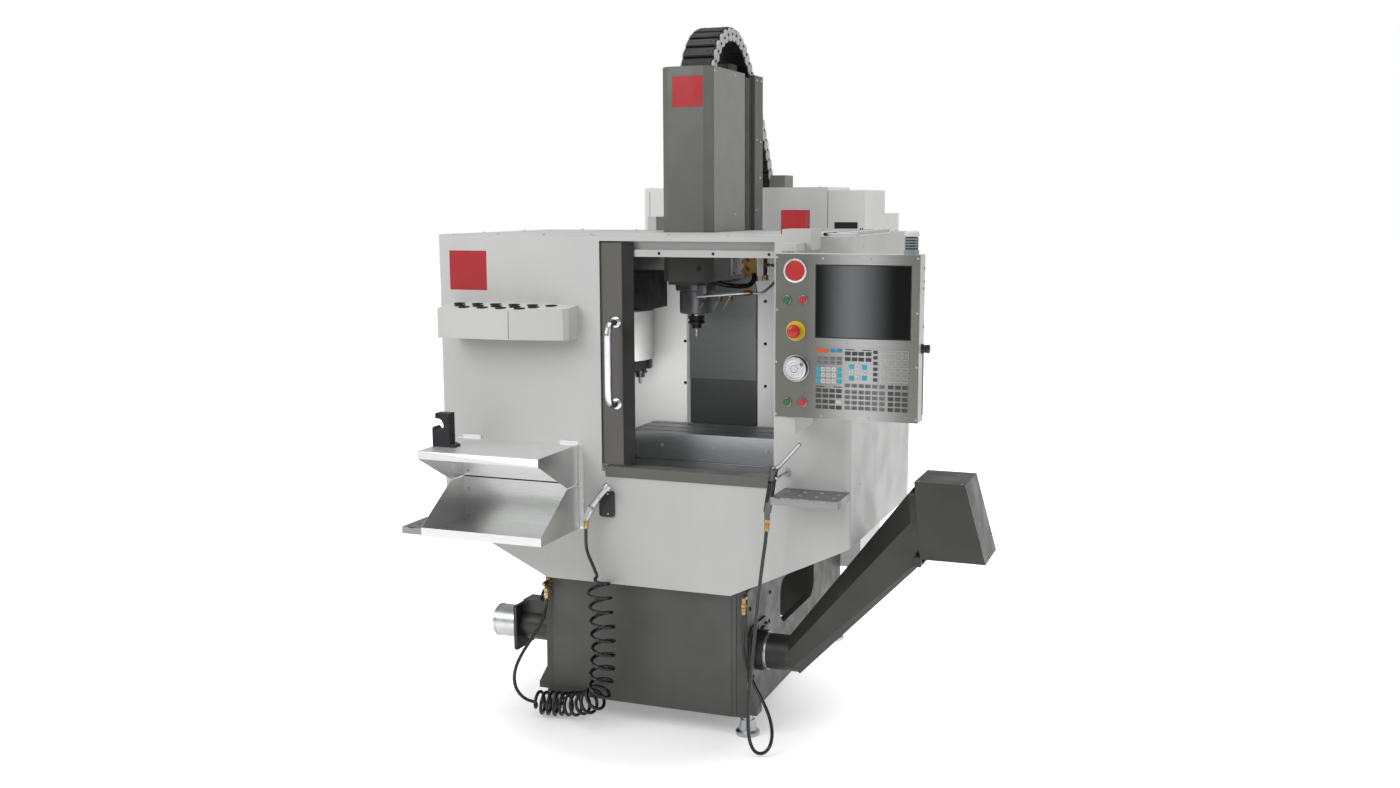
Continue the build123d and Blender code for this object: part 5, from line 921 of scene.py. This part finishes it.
# The cabinet's back: a door with a soft edge, its hinges, latches and switch.
slabs("cabinetDoor", "machine", "light_panels", cabinetPaint, "back",
      ((790, 1500, 8, 4, 1.2), [(-60, 1630, 1090)]))
stamped("cabinetHinges", "machine", zinc, [
    (turnedGrid([(0, -38), (6.5, -38), (7, -37), (7, 37), (6.5, 38), (0, 38)], 16),
     frames([(338, 1636, z) for z in (480, 1090, 1700)], "up"))])
slabs("cabinetLatches", "machine", "black_plastic", blackPlastic, "back",
      ((26, 90, 8, 12, 3), [(-425, 1634, 640), (-425, 1634, 1540)]))
switchFrame = frames([(-300, 1634, 1560)], "back")
stamped("cabinetSwitch", "machine", blackPlastic, [
    (slabGrid(70, 70, 6, 5, 1.5), switchFrame),
    (turnedGrid([(0, 4), (24, 4), (24, 12), (21, 14), (0, 14)], 32), switchFrame)])
slabs("cabinetSwitchHandle", "machine", "red_cap", redCap, "back", ((14, 52, 6, 14, 3), [(-300, 1647, 1560)]))
slabs("changerCuts", "machine", "black_plastic", blackPlastic, "front",
      ((10, 20, 4, 0.6), [(-172, 520, 1548), (-176, 520, 1468)]), ((20, 8, 3.5, 0.6), [(-180, 520, 1492)]))
print("stage: fittings")


def stageFloor(settings):
    # A flat sheet: grid points over a square, at the floor's height.
    side = np.linspace(-settings["reach"], settings["reach"], 9)
    x, y = np.meshgrid(side, side, indexing="ij")
    spots = np.stack([x, y, np.full_like(x, settings["height"])], -1)
    mesh = bpy.data.meshes.new("studioFloor")
    mesh.from_pydata(spots.reshape(-1, 3), [], gridFaces(9, 9))
    floor = bpy.data.objects.new("studioFloor", mesh)
    bpy.context.scene.collection.objects.link(floor)
    finish = Finish("paleFloor", 0.9, Specular_IOR_Level=0.0)
    node, join, shade = finish.node, finish.join, linear(*settings["shade"])
    finish.colour(finish.between(finish.noise(0.6, 2.0), shade, shade))
    # Painted light: the floor's glow, which rises with distance from middle.
    glow = node("ShaderNodeEmission")
    glow.inputs["Color"].default_value = (1, 1, 1, 1)
    path = node("ShaderNodeLightPath")
    level = node("ShaderNodeMath", operation="MAXIMUM")
    join(path.outputs["Is Camera Ray"], level.inputs[0])
    join(path.outputs["Is Glossy Ray"], level.inputs[1])
    away = node("ShaderNodeVectorMath", operation="DISTANCE")
    join(finish.spot, away.inputs[0])
    away.inputs[1].default_value = settings["middle"]
    rising = finish.spread(away.outputs["Value"], settings["glow"], 1.0, *settings["fade"])
    gain = node("ShaderNodeMath", operation="MULTIPLY")
    join(level.outputs[0], gain.inputs[0])
    join(rising, gain.inputs[1])
    join(gain.outputs[0], glow.inputs["Strength"])
    both = node("ShaderNodeAddShader")
    join(finish.shader.outputs[0], both.inputs[0])
    join(glow.outputs[0], both.inputs[1])
    out = next(n for n in finish.tree.nodes if n.type == "OUTPUT_MATERIAL")
    join(both.outputs[0], out.inputs["Surface"])
    floor.data.materials.append(finish.material)


def makeWorld(settings):
    # White to the camera, also through the clear pane, and a soft even light to everything else.
    world = bpy.data.worlds.new("studio")
    bpy.context.scene.world = world
    studio = NodeTree(world)
    studio.tree.nodes.clear()
    path = studio.node("ShaderNodeLightPath")
    seen = studio.node("ShaderNodeMath", operation="MAXIMUM")
    studio.join(path.outputs["Is Camera Ray"], seen.inputs[0])
    studio.join(path.outputs["Is Transmission Ray"], seen.inputs[1])
    mix = studio.node("ShaderNodeMixShader")
    studio.join(seen.outputs[0], mix.inputs[0])
    for strength, socket in ((settings["light"], 1), (1.0, 2)):
        light = studio.node("ShaderNodeBackground")
        light.inputs["Color"].default_value = (1, 1, 1, 1)
        light.inputs["Strength"].default_value = strength
        studio.join(light.outputs[0], mix.inputs[socket])
    studio.join(mix.outputs[0], studio.node("ShaderNodeOutputWorld").inputs[0])


def softLamp(name, spot, target, size, watts, spread=180, glossy=True):
    # A rectangular lamp, unseen by the camera, that faces its target.
    data = bpy.data.lights.new(name, "AREA")
    data.shape = "RECTANGLE"
    data.size, data.size_y = size
    data.energy = watts
    data.spread = math.radians(spread)
    lamp = bpy.data.objects.new(name, data)
    lamp.location = spot
    lamp.visible_camera = False
    lamp.visible_glossy = glossy
    lamp.rotation_euler = (Vector(target) - Vector(spot)).to_track_quat("-Z", "Y").to_euler()
    bpy.context.scene.collection.objects.link(lamp)


# Painted light: the floor glows, and glows less near `middle`, within `fade` metres of it, so that the
# machine's shadow stays and the floor round it is painted darker.
studio = {"light": 0.50, "floor": {"reach": 30.0, "height": -0.0005, "shade": (238, 238, 238), "glow": 0.28,
                                   "middle": (-0.22, -0.62, 0), "fade": (0.35, 1.1)}}
# Each lamp: place, what it points at, size, watts, then its cone in degrees and whether metal mirrors it.
lamps = {"keyLamp": ((-2.6, -4.2, 3.6), (0, 0, 1.2), (3.0, 3.0), 95),
         "topLamp": ((0.2, -0.6, 5.6), (0, 0, 0.8), (3.6, 3.6), 75),
         "sideLamp": ((4.6, -1.2, 2.6), (0, 0, 1.1), (2.0, 3.0), 32),
         "workLamp": ((-0.30, -0.46, 1.13), (-0.42, 0.18, 1.22), (0.4, 0.2), 2.7, 130, False)}
stageFloor(studio["floor"])
makeWorld(studio)
for lampName, lampSettings in lamps.items():
    softLamp(lampName, *lampSettings)
bpy.context.scene.view_settings.view_transform = "Standard"
print("stage: floor, world and lamps")

bpy.context.view_layer.update()
